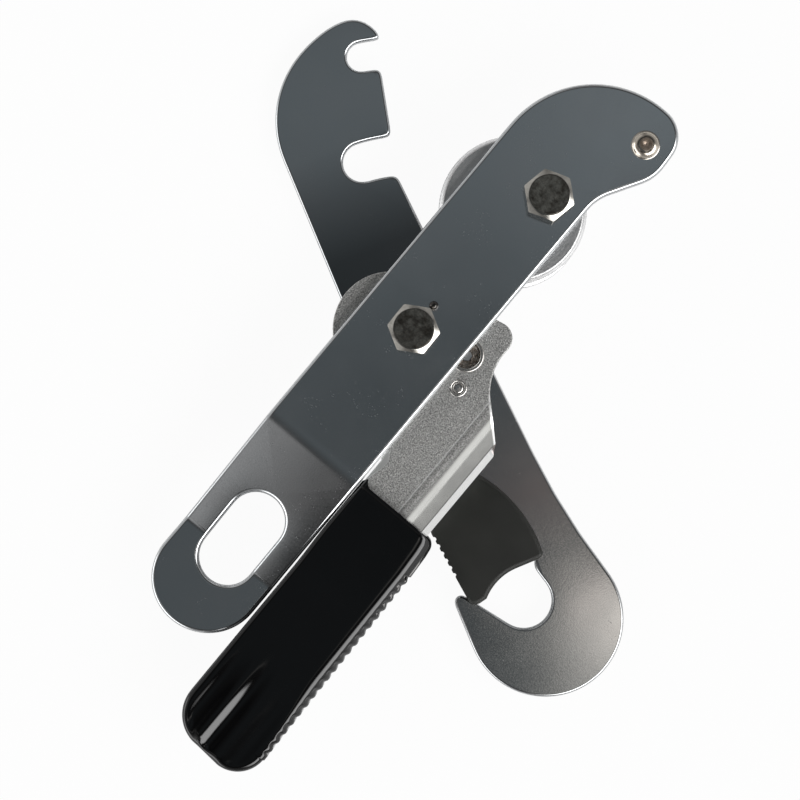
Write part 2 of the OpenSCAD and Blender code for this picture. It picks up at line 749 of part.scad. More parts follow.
module handle_flange_2d() {
    difference() {
        translate([arm_x0, handle_z0]) square([handle_t, handle_z1 - handle_z0]);
        translate([arm_x0 - 1, handle_z1 - flange_r]) square([1 + flange_r, flange_r + 1]);
    }
    disc([arm_x0 + flange_r, handle_z1 - flange_r], flange_r);
}

module tongue() {
    r = 3;
    mid = (arm_x0 + arm_x1) / 2;
    slab(web_z0, handle_z1) {
        translate([mid - tongue_w / 2, -arm_y - tongue_l + r]) square([tongue_w, tongue_l - r]);
        translate([mid - tongue_w / 2 + r, -arm_y - tongue_l]) square([tongue_w - 2 * r, tongue_l]);
        disc([mid - tongue_w / 2 + r, -arm_y - tongue_l + r], r);
        disc([mid + tongue_w / 2 - r, -arm_y - tongue_l + r], r);
    }
}

module handle_arm() {
    color([0.56, 0.56, 0.56]) placed() difference() {
        union() {
            intersection() {
                slab(handle_z0, handle_z1) handle_outline_2d();
                union() {
                    translate([0, 40, 0]) rotate([90, 0, 0])
                        linear_extrude(40 + flange_y) handle_section_2d(-40);
                    translate([0, -flange_y, 0]) rotate([90, 0, 0])
                        linear_extrude(arm_y - flange_y) handle_section_2d(arm_x0 + flange_r);
                    translate([0, -flange_y, 0]) rotate([90, 0, 0])
                        linear_extrude(arm_y - flange_y) handle_flange_2d();
                }
            }
            tongue();
        }
        rod([0, 0], bush_d, web_z0 - 1, handle_z1 + 1);
        rod(screw_c, screw_d, web_z0 - 1, handle_z1 + 1);
        screw_cone();
        rod(pin_c, pin_d, web_z0 - 1, handle_z1 + 1);
        rod(pin_c, pin_ring_d, handle_z1 - 0.6, handle_z1 + 1);
    }
}

module screw_cone() {
    h = (screw_head_d - screw_d) / 2;
    translate([screw_x, screw_y, handle_z1 - h]) cylinder(d1 = screw_d, d2 = screw_head_d, h = h);
}

module cam_screw() {
    color([0.3, 0.3, 0.31]) placed() difference() {
        union() {
            screw_cone();
            rod(screw_c, screw_d, handle_z1 - screw_l, handle_z1 - 1);
        }
        translate([screw_x, screw_y, handle_z1 - 2.2])
            cylinder(d = socket_af * 2 / sqrt(3), h = 3, $fn = 6);
    }
}

module cam_pin() {
    color([0.7, 0.7, 0.71]) placed() rod(pin_c, pin_d, handle_z1 - pin_l, handle_z1);
}

module grip_outline_2d() {
    y0 = -arm_y - grip_l;
    polygon(concat([[arm_x0, -arm_y]],
        arc([arm_x0 + grip_lean + grip_r_left, y0 + grip_rise + grip_r_left], grip_r_left, 180, 270),
        arc([arm_x0 + grip_w_end - grip_r_right, y0 + grip_r_right], grip_r_right, 270, 360),
        [[arm_x0 + grip_w_top + grip_knee_w, -arm_y - grip_knee], [arm_x0 + grip_w_top, -arm_y]]));
}

module grip_section_2d() {
    r = grip_edge_r;
    w = grip_w_end;
    h = handle_z1 + grip_cover - handle_z0;
    translate([arm_x0, handle_z0]) {
        translate([r, 0]) square([w - 2 * r, h]);
        translate([0, r]) square([w, h - 2 * r]);
        disc([r, r], r);
        disc([w - r, r], r);
        disc([r, h - r], r);
        disc([w - r, h - r], r);
    }
}

module handle_grip() {
    knee = [arm_x0 + grip_w_top + grip_knee_w, -arm_y - grip_knee];
    low = [arm_x0 + grip_w_end, -arm_y - grip_l + grip_r_right];
    d = (low - knee) / norm(low - knee);
    color([0.05, 0.05, 0.05]) placed() difference() {
        intersection() {
            slab(handle_z0, handle_z1 + grip_cover) grip_outline_2d();
            rotate([90, 0, 0]) linear_extrude(arm_y + grip_l + 10) grip_section_2d();
        }
        tongue();
        for (i = [0 : rib_n - 1]) {
            run = rib_y - grip_knee + (i + 0.5) * rib_pitch;
            rod(knee + run * d + [rib_r - rib_h, 0], 2 * rib_r, handle_z0 - 1, handle_z1 + grip_cover + 1);
        }
    }
}

module guide_pin() {
    n = guide_neck_d / 2;
    s = guide_d / 2;
    sleeve_z0 = swing_z1 + end_gap;
    d = dome_d / 2;
    cap = (d * d + dome_h * dome_h) / (2 * dome_h);
    color([0.72, 0.72, 0.73]) placed() translate(guide_c) rotate_extrude() difference() {
        union() {
            polygon([[0, 0], [guide_head_d / 2 - 0.6, 0], [guide_head_d / 2, 0.6],
                [guide_head_d / 2, rear_head_h], [n, rear_head_h], [n, sleeve_z0], [s, sleeve_z0],
                [s, front_z1 + 0.5], [0, front_z1 + 0.5]]);
            intersection() {
                disc([0, front_z1 + dome_h - cap], cap);
                translate([0, front_z1]) square([d + 1, dome_h + 1]);
            }
        }
        disc([0, front_z1 + dome_h + dimple_d * 0.3], dimple_d / 2);
        translate([-50, -10]) square([50, 100]);
    }
}

module guide_sleeve() {
    color([0.66, 0.66, 0.68]) placed() difference() {
        rod(guide_c, sleeve_d, swing_z1 + end_gap, front_z0);
        rod(guide_c, guide_d + 2 * hole_gap, swing_z1, front_z0 + 1);
    }
}

module gate_outline_2d() {
    bow_c = [bow_x - bow_r, -bow_y];
    thumb = [-thumb_x, -thumb_y];
    foot_c = [bow_x - foot_r - 0.1, -foot_y + foot_r];
    boss_a = meet(bow_c, bow_r, gate_c, boss_r, -1);
    boss_from = heading(bow_c + bow_r * polar(boss_a) - gate_c);
    boss_to = heading(outer_tan(gate_c, boss_r, thumb, 0, -1)[0] - gate_c);
    sill_a = 136;
    polygon(concat(arc(foot_c, foot_r, 270, 355), arc(bow_c, bow_r, -3, boss_a),
        arc(gate_c, boss_r, boss_from, boss_to + 360 * (boss_to < boss_from ? 1 : 0)), [thumb],
        arc(beak_c, beak_r, 172, 285), arc([sill_x, -sill_y], sill_r, sill_a, 90)));
}

module thumb_grooves() {
    thumb = [-thumb_x, -thumb_y];
    d = beak_c + beak_r * polar(172) - thumb;
    u = d / norm(d);
    for (i = [0 : thumb_n - 1])
        rod(thumb + (1.6 + i * thumb_pitch) * u - 0.25 * [-u[1], u[0]], 2 * thumb_r,
            gate_z0 - 1, gate_z1 + 1);
}

module gate() {
    lug_c = [nose_c[0] + nose_r + lug_r + 1.3, -nose_y + 1];
    z = gate_z0 + gate_pocket_h;
    color([0.13, 0.13, 0.12]) opened() difference() {
        union() {
            slab(gate_z0, gate_z1) gate_outline_2d();
            rod(lug_c, 2 * lug_r, swing_z0 + 0.4, gate_z0 + 0.5);
        }
        thumb_grooves();
        rod(gate_c, rivet_d + 2 * run_gap, gate_z0 - 1, gate_z1 + 1);
        rod(gate_c, rivet_head_d + 2 * end_gap, gate_z1 - rivet_head_h - end_gap, gate_z1 + 1);
        rod(gate_c, 2 * coil_r + wire_d + 1.6, gate_z0 - 1, z);
        slab(gate_z0 - 1, z) polygon([gate_c, gate_c + (leg_l + 2.6) * polar(206),
            gate_c + (leg_l + 3.2) * polar(240), gate_c + (leg_l + 2.6) * polar(274)]);
    }
}

module gate_rivet() {
    color([0.72, 0.72, 0.73]) opened() {
        translate([gate_c[0], gate_c[1], swing_z0])
            cylinder(d1 = rivet_d + 2 * rivet_sink, d2 = rivet_d, h = rivet_sink);
        rod(gate_c, rivet_d, swing_z0, gate_z1 - end_gap / 2);
        rod(gate_c, rivet_head_d, gate_z1 - rivet_head_h - end_gap / 2, gate_z1 - end_gap / 2);
    }
}

module gate_spring() {
    z = swing_z1 + wire_d / 2;
    step = wire_d * 1.12;
    from = gate_c + coil_r * polar(200);
    foot = gate_c + coil_r * polar(60);
    color([0.75, 0.75, 0.75]) opened() {
        for (i = [0 : 2])
            translate([gate_c[0], gate_c[1], z + i * step])
                rotate_extrude($fn = 36) translate([coil_r, 0]) circle(d = wire_d, $fn = 16);
        rod(gate_c + coil_r * polar(130), wire_d * 0.6, z, z + 2 * step);
        rod(foot, wire_d * 0.8, swing_z0 + 0.6, z);
        translate([from[0], from[1], z + 2 * step]) rotate([0, 90, 290])
            cylinder(d = wire_d * 0.8, h = leg_l);
    }
}

front_plate();
swing_plate();
upper_bobbin();
bobbin_dowel();
upper_bolt();
upper_post();
cam_bobbin();
cam_bush();
cam_bolt();
cam_post();
bolt_lock_pin();
front_washer();
rear_washer();
handle_arm();
handle_grip();
cam_screw();
cam_pin();
guide_pin();
guide_sleeve();
gate();
gate_rivet();
gate_spring();
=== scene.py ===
import bpy
import bmesh
import json
from math import atan2, cos, exp, hypot, pi, radians, sin, sqrt, tan
from mathutils import Matrix, Vector


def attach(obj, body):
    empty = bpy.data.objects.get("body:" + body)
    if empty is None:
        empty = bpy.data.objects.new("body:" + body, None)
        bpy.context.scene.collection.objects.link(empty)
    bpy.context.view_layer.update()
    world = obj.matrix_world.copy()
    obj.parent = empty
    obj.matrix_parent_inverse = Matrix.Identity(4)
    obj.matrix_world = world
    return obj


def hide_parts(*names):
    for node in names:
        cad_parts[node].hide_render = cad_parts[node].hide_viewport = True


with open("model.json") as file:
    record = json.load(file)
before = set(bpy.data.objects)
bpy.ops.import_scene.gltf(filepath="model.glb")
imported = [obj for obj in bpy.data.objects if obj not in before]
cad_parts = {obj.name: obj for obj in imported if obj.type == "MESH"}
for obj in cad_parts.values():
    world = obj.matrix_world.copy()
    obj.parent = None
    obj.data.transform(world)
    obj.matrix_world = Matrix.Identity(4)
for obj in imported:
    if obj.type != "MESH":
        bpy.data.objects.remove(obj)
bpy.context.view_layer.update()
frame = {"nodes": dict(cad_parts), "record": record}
nodes = frame["nodes"]
mm = 0.001
slotOf = {s["node"]: s["material_slot"] for s in frame["record"]["subparts"]}
bodyOf = {n: b for b, ns in frame["record"]["behaviour"]["bodies"].items() for n in ns}
print("frame loaded:", len(nodes), "nodes")

# heights of the main faces and places of the axes, in millimetres
faceZ = {"front": 9.198, "handle": 5.598, "swing": -12.802, "gate": -6.702, "table": -18.702}
axisAt = {"cam": (0.0, 77.3), "upper": (5.1, 130.3), "guide": (16.734, 159.171), "lock": (0.0, 86.056),
          "screw": (15.9, 81.6), "pin": (20.0, 72.8), "bobbin": (-0.4, 121.6), "gate": (34.632, 50.732)}

# noise seldom leaves the first span, and fine grain keeps to the second
span = (0.3, 0.7)
grainSpan = (0.35, 0.65)


def scaled(numbers):
    return tuple(number * mm for number in numbers)


def grey(v):
    return (v, v, v)


def shades(colour, spread):
    return tuple(c * (1.0 - spread) for c in colour), tuple(min(1.0, c * (1.0 + spread)) for c in colour)


def easeStep(value, low, high):
    t = min(1.0, max(0.0, (value - low) / (high - low)))
    return t * t * (3.0 - 2.0 * t)


# a shader node whose inputs are numbers, colours or outputs of other nodes, one of them at least
def nodeOn(kind, inputs, **settings):
    tree = next(v for v in inputs.values() if isinstance(v, bpy.types.NodeSocket)).id_data
    node = tree.nodes.new("ShaderNode" + kind)
    for key, value in settings.items():
        setattr(node, key, value)
    for key, value in inputs.items():
        if isinstance(value, bpy.types.NodeSocket):
            tree.links.new(value, node.inputs[key])
        else:
            node.inputs[key].default_value = (*value, 1.0) if isinstance(value, tuple) else value
    return node


def newMaterial(name, metallic=0.0):
    mat = bpy.data.materials.new(name)
    mat.use_nodes = True
    shader = mat.node_tree.nodes["Principled BSDF"]
    shader.inputs["Metallic"].default_value = metallic
    return mat, shader, mat.node_tree.nodes.new("ShaderNodeTexCoord").outputs["Object"]


def noiseOn(coord, scale, detail=2.0, roughness=0.5):
    values = {"Vector": coord, "Scale": scale, "Detail": detail, "Roughness": roughness}
    return nodeOn("TexNoise", values).outputs["Fac"]


def rampOn(value, stops):
    ramp = nodeOn("ValToRGB", {"Fac": value})
    elements = ramp.color_ramp.elements
    while len(elements) < len(stops):
        elements.new(0.5)
    for element, (place, colour) in zip(elements, stops):
        element.position = place
        element.color = (*colour, 1.0)
    return ramp.outputs["Color"]


def rangeOn(value, ends, results=(0.0, 1.0), kind="LINEAR"):
    numbers = zip(("From Min", "From Max", "To Min", "To Max"), (*ends, *results))
    return nodeOn("MapRange", {"Value": value, **dict(numbers)}, interpolation_type=kind).outputs["Result"]


def softOn(value, ends, results=(0.0, 1.0)):
    return rangeOn(value, ends, results, "SMOOTHSTEP")


def mathOn(kind, a, b=0.0):
    return nodeOn("Math", {0: a, 1: b}, operation=kind).outputs[0]


def productOn(first, *others):
    for other in others:
        first = mathOn("MULTIPLY", first, other)
    return first


def sumOn(first, *others):
    for other in others:
        first = mathOn("ADD", first, other)
    return first


# how far a place lies along a direction in plan
def alongOn(x, y, way):
    return sumOn(productOn(x, way[0]), productOn(y, way[1]))


# distance of a value from another, whichever is larger
def gapOn(value, place):
    return mathOn("ABSOLUTE", mathOn("SUBTRACT", value, place))


# distance in plan from a centre in millimetres
def awayOn(x, y, centre):
    dx, dy = (mathOn("SUBTRACT", value, at * mm) for value, at in zip((x, y), centre))
    return mathOn("SQRT", sumOn(productOn(dx, dx), productOn(dy, dy)))


def blendOn(fac, first, second, kind="MIX"):
    return nodeOn("Mix", {0: fac, 6: first, 7: second}, data_type="RGBA", blend_type=kind).outputs[2]


def splitOn(coord):
    return tuple(nodeOn("SeparateXYZ", {0: coord}).outputs)


def cloudOn(noise, colours):
    return rampOn(noise, list(zip(span, colours)))


def roughOn(noise, rough, shares=(0.8, 1.2)):
    return rangeOn(noise, span, tuple(rough * share for share in shares))


def wearFinish(shader, tone, rough, height, depth):
    bump = nodeOn("Bump", {"Height": height, "Strength": 1.0, "Distance": depth}).outputs["Normal"]
    for key, value in (("Base Color", tone), ("Roughness", rough), ("Normal", bump)):
        shader.id_data.links.new(value, shader.inputs[key])


sheet = {"cloud": 38.0, "smear": 70.0, "dustGrain": 1900.0, "dustEdge": 0.06, "dustPatch": 90.0,
         "patchSpan": (0.45, 0.62), "dustRough": 0.17, "grainRough": (-0.02, 0.03), "rolledBelow": (0.02, 0.1),
         "frostFrom": (-50.0, -75.0), "frostTone": 0.3}


# tumbled and polished sheet: soft clouds, a fine grain and a little dust that scatters; if given, bands of painted
# reflection and shade along the flat
def polishedSheet(name, look):
    mat, shader, coord = newMaterial(name, 1.0)
    tone = cloudOn(noiseOn(coord, sheet["cloud"], 3.0), (look["cool"], look["warm"]))
    grain = noiseOn(coord, look["grain"], 3.0, 0.6)
    rough = roughOn(noiseOn(coord, sheet["smear"]), look["rough"])
    specks = noiseOn(coord, sheet["dustGrain"], 1.0)
    specks = rangeOn(specks, (look["dust"], look["dust"] + sheet["dustEdge"]))
    dust = productOn(specks, softOn(noiseOn(coord, sheet["dustPatch"]), sheet["patchSpan"]))
    # painted reflection and shade: bands of lighter, warmer and darker tone along the plate, kept off its rolled edges
    if "paintedLightBands" in look:
        x, y, z = splitOn(coord)
        turn = radians(look["turn"])
        fromAxis = mathOn("SUBTRACT", y, axisAt["cam"][1] * mm)
        along = alongOn(x, fromAxis, (-sin(turn), cos(turn)))
        first, last = look["paintedLightBands"][0][0], look["paintedLightBands"][-1][0]
        place = rangeOn(along, scaled((first, last)))
        paintedLightBands = rampOn(place, [((at - first) / (last - first), colour) for at, colour in look["paintedLightBands"]])
        rolled = rangeOn(z, scaled(faceZ["swing"] - fall for fall in sheet["rolledBelow"]))
        tone = blendOn(1.0, tone, blendOn(rolled, paintedLightBands, grey(1.0)), "MULTIPLY")
        frost = softOn(along, scaled(sheet["frostFrom"]), (0.0, look["frost"]))
        sparkle = blendOn(rangeOn(grain, grainSpan), grey(sheet["frostTone"]), grey(1.0))
        tone = blendOn(frost, tone, sparkle, "MULTIPLY")
    rough = sumOn(rough, rangeOn(grain, grainSpan, sheet["grainRough"]), productOn(dust, sheet["dustRough"]))
    wearFinish(shader, tone, rough, grain, look["depth"])
    return mat


turned = {"cloud": 120.0, "spread": 0.06, "waver": 1.5, "rimWidth": 0.3, "rimBump": 0.1, "ringShare": 0.5}


# lathe-turned metal, with rings around its own axis and a painted highlight in a lighter tone on its rim
def turnedMetal(name, look, centre):
    mat, shader, coord = newMaterial(name, 1.0)
    place = nodeOn("Mapping", {"Vector": coord, "Location": Vector(scaled((-centre[0], -centre[1], 0.0)))})
    waves = {"Vector": place.outputs[0], "Scale": look["rings"], "Distortion": turned["waver"], "Detail": 2.0}
    rings = nodeOn("TexWave", waves, wave_type="RINGS", rings_direction="Z").outputs["Fac"]
    tone = cloudOn(noiseOn(coord, turned["cloud"], 3.0), shades(look["colour"], turned["spread"]))
    x, y, z = splitOn(coord)
    # painted highlight: the rim gets a lighter tone
    rim = softOn(awayOn(x, y, centre), scaled((look["rim"], look["rim"] + turned["rimWidth"])))
    tone = blendOn(rim, tone, look["rimHighlightColour"])
    grain = noiseOn(coord, look["grain"], 3.0)
    height = sumOn(productOn(rings, turned["ringShare"]), grain)
    height = productOn(height, rangeOn(rim, (0.0, 1.0), (1.0, turned["rimBump"])))
    wearFinish(shader, tone, roughOn(grain, look["rough"]), height, look["depth"])
    return mat


# the roll, facet, strip, wedge, line and dark line colours are painted light and shade, not the steel's own tones
blast = {"colour": (0.56, 0.555, 0.54), "spread": 0.5, "grain": 2650.0, "depth": 0.00006, "rough": 0.5,
         "roughShares": (0.85, 1.15), "cloud": 60.0, "cloudTones": (0.88, 1.0), "paintedShadeTone": 0.58,
         "facetShadeColour": (0.27, 0.27, 0.26), "plainRough": 0.19, "plainShares": (0.85, 1.2), "smear": 160.0,
         "plainBump": 0.03, "rollShadeColour": (0.135, 0.135, 0.13), "stripHighlightColour": (0.92, 0.92, 0.91),
         "wedgeHighlightColour": (0.8, 0.8, 0.78), "wedgeRough": 0.2, "lineHighlightColour": (0.9, 0.9, 0.89), "line": 0.6,
         "darkLineColour": (0.08, 0.08, 0.075), "darkLine": 0.75}
# where the finish and the painted light and shade change on the handle, in millimetres along x if not named otherwise
zones = {"plain": (30.8, 33.0), "shadeFrom": (29.3, 30.3), "smooth": (29.5, 32.0), "facet": (34.0, 35.0),
         "strip": (38.2, 38.5), "crease": 29.45, "creaseHalf": (0.08, 0.26), "darkLine": 38.3, "darkLineHalf": (0.08, 0.22),
         "borderY": (35.2, 43.5), "border": (16.75, 18.1), "crownY": (43.5, 46.6), "crown": (0.0, -1.3),
         "wedgeHalf": (-0.05, 0.05), "wedgeTopY": (46.7, 46.5), "brimHalf": (0.06, 0.2),
         "rollAt": (33.1, 72.7), "rollWay": (0.675, 0.738), "roll": (-1.0, -0.45), "rollFrom": (27.5, 29.0)}


# blasted on the flat, plain smooth steel where the sheet is turned down and on the wedge beside the grip; painted shade
# darkens the turned-down side, painted highlights light the wedge, the lip strip, the crease, the wedge's border and
# the rolled corner, and a painted dark line runs before the strip
def blastedSteel(name):
    mat, shader, coord = newMaterial(name, 1.0)
    x, y, z = splitOn(coord)
    at = {key: scaled(ends) for key, ends in zones.items() if isinstance(ends, tuple)}
    falling = (1.0, 0.0)
    # painted highlight: a light wedge beside the grip, its border drawn as a bright line
    border = sumOn(softOn(y, at["borderY"], at["border"]), softOn(y, at["crownY"], at["crown"]))
    side = mathOn("SUBTRACT", x, border)
    below = rangeOn(y, at["wedgeTopY"])
    wedge = productOn(rangeOn(side, at["wedgeHalf"], falling), below)
    brim = productOn(softOn(mathOn("ABSOLUTE", side), at["brimHalf"], falling), below)
    plain = mathOn("MAXIMUM", softOn(x, at["plain"]), wedge)
    # painted highlight: a thin bright line along the crease
    crease = softOn(gapOn(x, zones["crease"] * mm), at["creaseHalf"], falling)
    line = productOn(mathOn("MAXIMUM", crease, brim), blast["line"])
    # painted shade: a thin dark line before the lip strip
    darkLine = softOn(gapOn(x, zones["darkLine"] * mm), at["darkLineHalf"], (blast["darkLine"], 0.0))
    # painted highlight: the rolled upper corner of the flange takes the strip's light tone
    offset = [mathOn("SUBTRACT", value, place) for value, place in zip((x, y), at["rollAt"])]
    reach = alongOn(*offset, zones["rollWay"])
    rolled = productOn(softOn(reach, at["roll"]), rangeOn(x, at["rollFrom"]))
    pits = noiseOn(coord, blast["grain"], 1.0, 0.6)
    sand = cloudOn(pits, shades(blast["colour"], blast["spread"]))
    cloud = cloudOn(noiseOn(coord, blast["cloud"]), [grey(v) for v in blast["cloudTones"]])
    sand = blendOn(1.0, sand, cloud, "MULTIPLY")
    # painted shade: the sand darkens where the sheet starts to turn down
    sand = blendOn(1.0, sand, softOn(x, at["shadeFrom"], (1.0, blast["paintedShadeTone"])), "MULTIPLY")
    # painted shade: dark tones on the smooth turned-down side, darkest on the roll to dim its reflected band
    tone = blendOn(softOn(x, at["facet"]), blast["rollShadeColour"], blast["facetShadeColour"])
    tone = blendOn(plain, sand, tone)
    # painted highlights on the lip strip, the wedge, the crease and wedge border lines and the rolled corner, and a
    # painted dark line before the strip
    for share, colour in ((rangeOn(x, at["strip"]), "stripHighlightColour"), (wedge, "wedgeHighlightColour"), (darkLine, "darkLineColour"),
                          (line, "lineHighlightColour"), (rolled, "stripHighlightColour")):
        tone = blendOn(share, tone, blast[colour])
    coarse = roughOn(pits, blast["rough"], blast["roughShares"])
    smooth = roughOn(noiseOn(coord, blast["smear"]), blast["plainRough"], blast["plainShares"])
    rough = nodeOn("Mix", {0: plain, 2: coarse, 3: smooth}).outputs[0]
    rough = sumOn(rough, productOn(wedge, blast["wedgeRough"]))
    even = mathOn("MAXIMUM", wedge, rangeOn(x, at["smooth"]))
    height = productOn(pits, rangeOn(even, (0.0, 1.0), (1.0, blast["plainBump"])))
    wearFinish(shader, tone, rough, height, blast["depth"])
    return mat


fitting = {"roughShares": (0.7, 1.4), "coreEdge": 0.25, "rimBump": 0.05}


# plated or plain small fittings: mottled colour, slight handling marks, a coarse dark core if given
def fittingMetal(name, look):
    mat, shader, coord = newMaterial(name, 1.0)
    tone = cloudOn(noiseOn(coord, look["spots"], 4.0, 0.6), shades(look["colour"], look["mottle"]))
    marks = noiseOn(coord, look["grain"], 3.0, 0.6)
    height, rough = marks, roughOn(marks, look["rough"], fitting["roughShares"])
    if "core" in look:
        x, y, z = splitOn(coord)
        away = awayOn(x, y, axisAt[look["core"]])
        inside = softOn(away, scaled((look["coreRadius"], look["coreRadius"] - fitting["coreEdge"])))
        spots = noiseOn(coord, look["coreSpots"], 3.0, 0.6)
        tone = blendOn(inside, tone, rampOn(spots, list(zip(grainSpan, look["coreColour"]))))
        height = productOn(marks, rangeOn(inside, (0.0, 1.0), (fitting["rimBump"], 1.0)))
        rough = sumOn(rough, productOn(inside, look["coreRough"]))
    wearFinish(shader, tone, rough, height, look["depth"])
    return mat


skin = {"cloud": 80.0, "spread": 0.2, "smear": 55.0, "grainRough": (-0.02, 0.02), "ior": 1.5}


# moulded plastic and rubber: cloudy tone, skin texture
def mouldedSkin(name, look):
    mat, shader, coord = newMaterial(name)
    shader.inputs["IOR"].default_value = look.get("ior", skin["ior"])
    tone = cloudOn(noiseOn(coord, skin["cloud"], 3.0), shades(look["colour"], skin["spread"]))
    grain = noiseOn(coord, look["grain"], 3.0)
    rough = roughOn(noiseOn(coord, skin["smear"]), look["rough"])
    rough = sumOn(rough, rangeOn(grain, span, skin["grainRough"]))
    wearFinish(shader, tone, rough, grain, look["depth"])
    return mat


plateLook = {"cool": (0.62, 0.645, 0.66), "warm": (0.655, 0.66, 0.67), "grain": 2600.0, "depth": 0.000004}
turnedKeys = ("colour", "rimHighlightColour", "rim", "rough", "rings", "grain", "depth")
fittingKeys = ("colour", "mottle", "spots", "rough", "grain", "depth")
coreKeys = ("core", "coreRadius", "coreSpots", "coreRough", "coreColour")


def turnedRow(name, axis, *row):
    return turnedMetal(name, dict(zip(turnedKeys, row)), axisAt[axis])


def fittingRow(name, row, core=()):
    return fittingMetal(name, dict(zip(fittingKeys + coreKeys[:len(core)], row + core)))


# one finish for each material slot
finishes = {
    "polished_plate": polishedSheet("polishedPlate", {**plateLook, "dust": 0.67, "rough": 0.12}),
    # the upper bobbin's rim carries a painted highlight
    "bobbin_metal": turnedRow("bobbinMetal", "bobbin", grey(0.63), grey(0.92), 20.2, 0.42, 260.0, 1800.0, 0.00002),
    "handle_blast": blastedSteel("handleBlast"),
    "bright_nickel": fittingRow("brightNickel", ((0.46, 0.42, 0.36), 0.25, 420.0, 0.13, 900.0, 0.00002)),
    "dark_steel": fittingRow("darkSteel", ((0.3, 0.28, 0.25), 0.35, 1400.0, 0.26, 1500.0, 0.00008)),
    "plain_steel": fittingRow("plainSteel", ((0.6, 0.6, 0.61), 0.06, 300.0, 0.28, 1500.0, 0.00001)),
    "bush_bronze": fittingRow("bushBronze", ((0.66, 0.48, 0.26), 0.1, 400.0, 0.3, 1500.0, 0.00001)),
    "washer_plastic": mouldedSkin("washerPlastic", {
        "colour": (0.68, 0.67, 0.62), "rough": 0.5, "grain": 1500.0, "depth": 0.00001}),
    "grip_black": mouldedSkin("gripBlack", {
        "colour": (0.0012, 0.0012, 0.0014), "rough": 0.09, "grain": 500.0, "depth": 0.000004, "ior": 1.57}),
    "gate_black": mouldedSkin("gateBlack", {
        "colour": (0.011, 0.0115, 0.009), "rough": 0.48, "grain": 2600.0, "depth": 0.00001}),
}
# finishes of single pieces that differ from their slot's
ownFinish = {
    "cam_bobbin": turnedRow("camMetal", "cam", (0.56, 0.57, 0.58), grey(0.6), 60.0, 0.4, 240.0, 1800.0, 0.00002),
    "swing_plate": polishedSheet("polishedSwing", {
        **plateLook, "dust": 0.7, "rough": 0.09, "turn": 62.4, "frost": 0.3,
        # painted reflection and shade on the swing plate's flat: warm light bands towards the eye, dark bands between
        # the pivot and the upper hook
        "paintedLightBands": [(-115.0, (1.0, 0.99, 0.96)), (-74.0, (1.0, 0.95, 0.91)), (-56.0, (1.0, 0.85, 0.81)),
                  (-36.0, (1.0, 0.94, 0.91)), (-15.0, grey(1.0)), (8.0, grey(0.3)), (28.0, grey(0.3)),
                  (46.0, grey(0.6)), (60.0, grey(0.9)), (95.0, grey(0.9))]}),
    "bolt_lock_pin": fittingRow("ballBlack", ((0.08, 0.075, 0.07), 0.3, 900.0, 0.16, 900.0, 0.00001)),
    "cam_screw": fittingRow("screwSteel", ((0.62, 0.6, 0.57), 0.12, 600.0, 0.2, 1300.0, 0.0002),
                            ("screw", 3.95, 900.0, 0.0, ((0.1, 0.07, 0.05), (0.5, 0.45, 0.4)))),
    "guide_pin": fittingRow("guideNickel", ((0.66, 0.6, 0.52), 0.15, 420.0, 0.15, 900.0, 0.00004),
                            ("guide", 2.0, 700.0, 0.25, ((0.3, 0.235, 0.18), (0.48, 0.39, 0.32)))),
    "cam_pin": fittingRow("pinSteel", ((0.7, 0.68, 0.65), 0.12, 600.0, 0.2, 1300.0, 0.00004)),
}
for axis in ("cam", "upper"):
    ownFinish[axis + "_bolt"] = fittingRow(
        axis + "BoltNickel", ((0.52, 0.5, 0.46), 0.2, 420.0, 0.13, 900.0, 0.00006),
        (axis, 5.6, 520.0, 0.03, ((0.13, 0.11, 0.09), (0.42, 0.38, 0.33))))
print("finishes mixed:", len(finishes) + len(ownFinish))

# how near points are merged, in metres, and how flat faces are joined, in degrees
weld = {"copy": 0.000002, "lathe": 0.0000005, "grip": 0.000001, "flat": 0.6}


# helpers for meshes
def mergedCopy(nodeName):
    bm = bmesh.new()
    bm.from_mesh(nodes[nodeName].data)
    bmesh.ops.remove_doubles(bm, verts=bm.verts, dist=weld["copy"])
    bmesh.ops.dissolve_limit(bm, angle_limit=radians(weld["flat"]), verts=bm.verts, edges=bm.edges)
    return bm


def sharpEdges(bm, limit=35.0):
    return [e for e in bm.edges if len(e.link_faces) == 2 and e.calc_face_angle(0.0) > radians(limit)]


def openEdges(bm):
    return [e for e in bm.edges if e.is_boundary]


def closeHoles(bm):
    bmesh.ops.holes_fill(bm, edges=openEdges(bm), sides=0)


def vertsOf(geom):
    return [v for v in geom if isinstance(v, bmesh.types.BMVert)]


def grownFrom(bm, edges):
    return vertsOf(bmesh.ops.extrude_edge_only(bm, edges=edges)["geom"])


def edgesOf(verts):
    return list(set(e for v in verts for e in v.link_edges))


def cutAt(bm, place, way, clear=False):
    bmesh.ops.bisect_plane(bm, geom=bm.verts[:] + bm.edges[:] + bm.faces[:], plane_co=place, plane_no=way,
                           clear_outer=clear)


def moveBy(bm, verts, x, y, z):
    bmesh.ops.translate(bm, verts=verts, vec=(x * mm, y * mm, z * mm))


def turnBy(bm, verts, angle, axis):
    bmesh.ops.rotate(bm, verts=verts, cent=(0.0, 0.0, 0.0), matrix=Matrix.Rotation(angle, 3, axis))


def roundOff(bm, edges, radius, segments):
    bmesh.ops.bevel(bm, geom=edges, offset=radius * mm, offset_type="OFFSET", segments=segments, profile=0.5,
                    affect="EDGES", material=-1, clamp_overlap=False, loop_slide=False)


def nearAxis(edge, name, radius):
    x, y = axisAt[name]
    return all(hypot(v.co.x / mm - x, v.co.y / mm - y) < radius for v in edge.verts)


# both ends of an edge, in millimetres, if it lies in a face at the given height
def endsAt(edge, height):
    a, b = (v.co / mm for v in edge.verts)
    return (a, b) if max(abs(a.z - height), abs(b.z - height)) < 0.02 else None


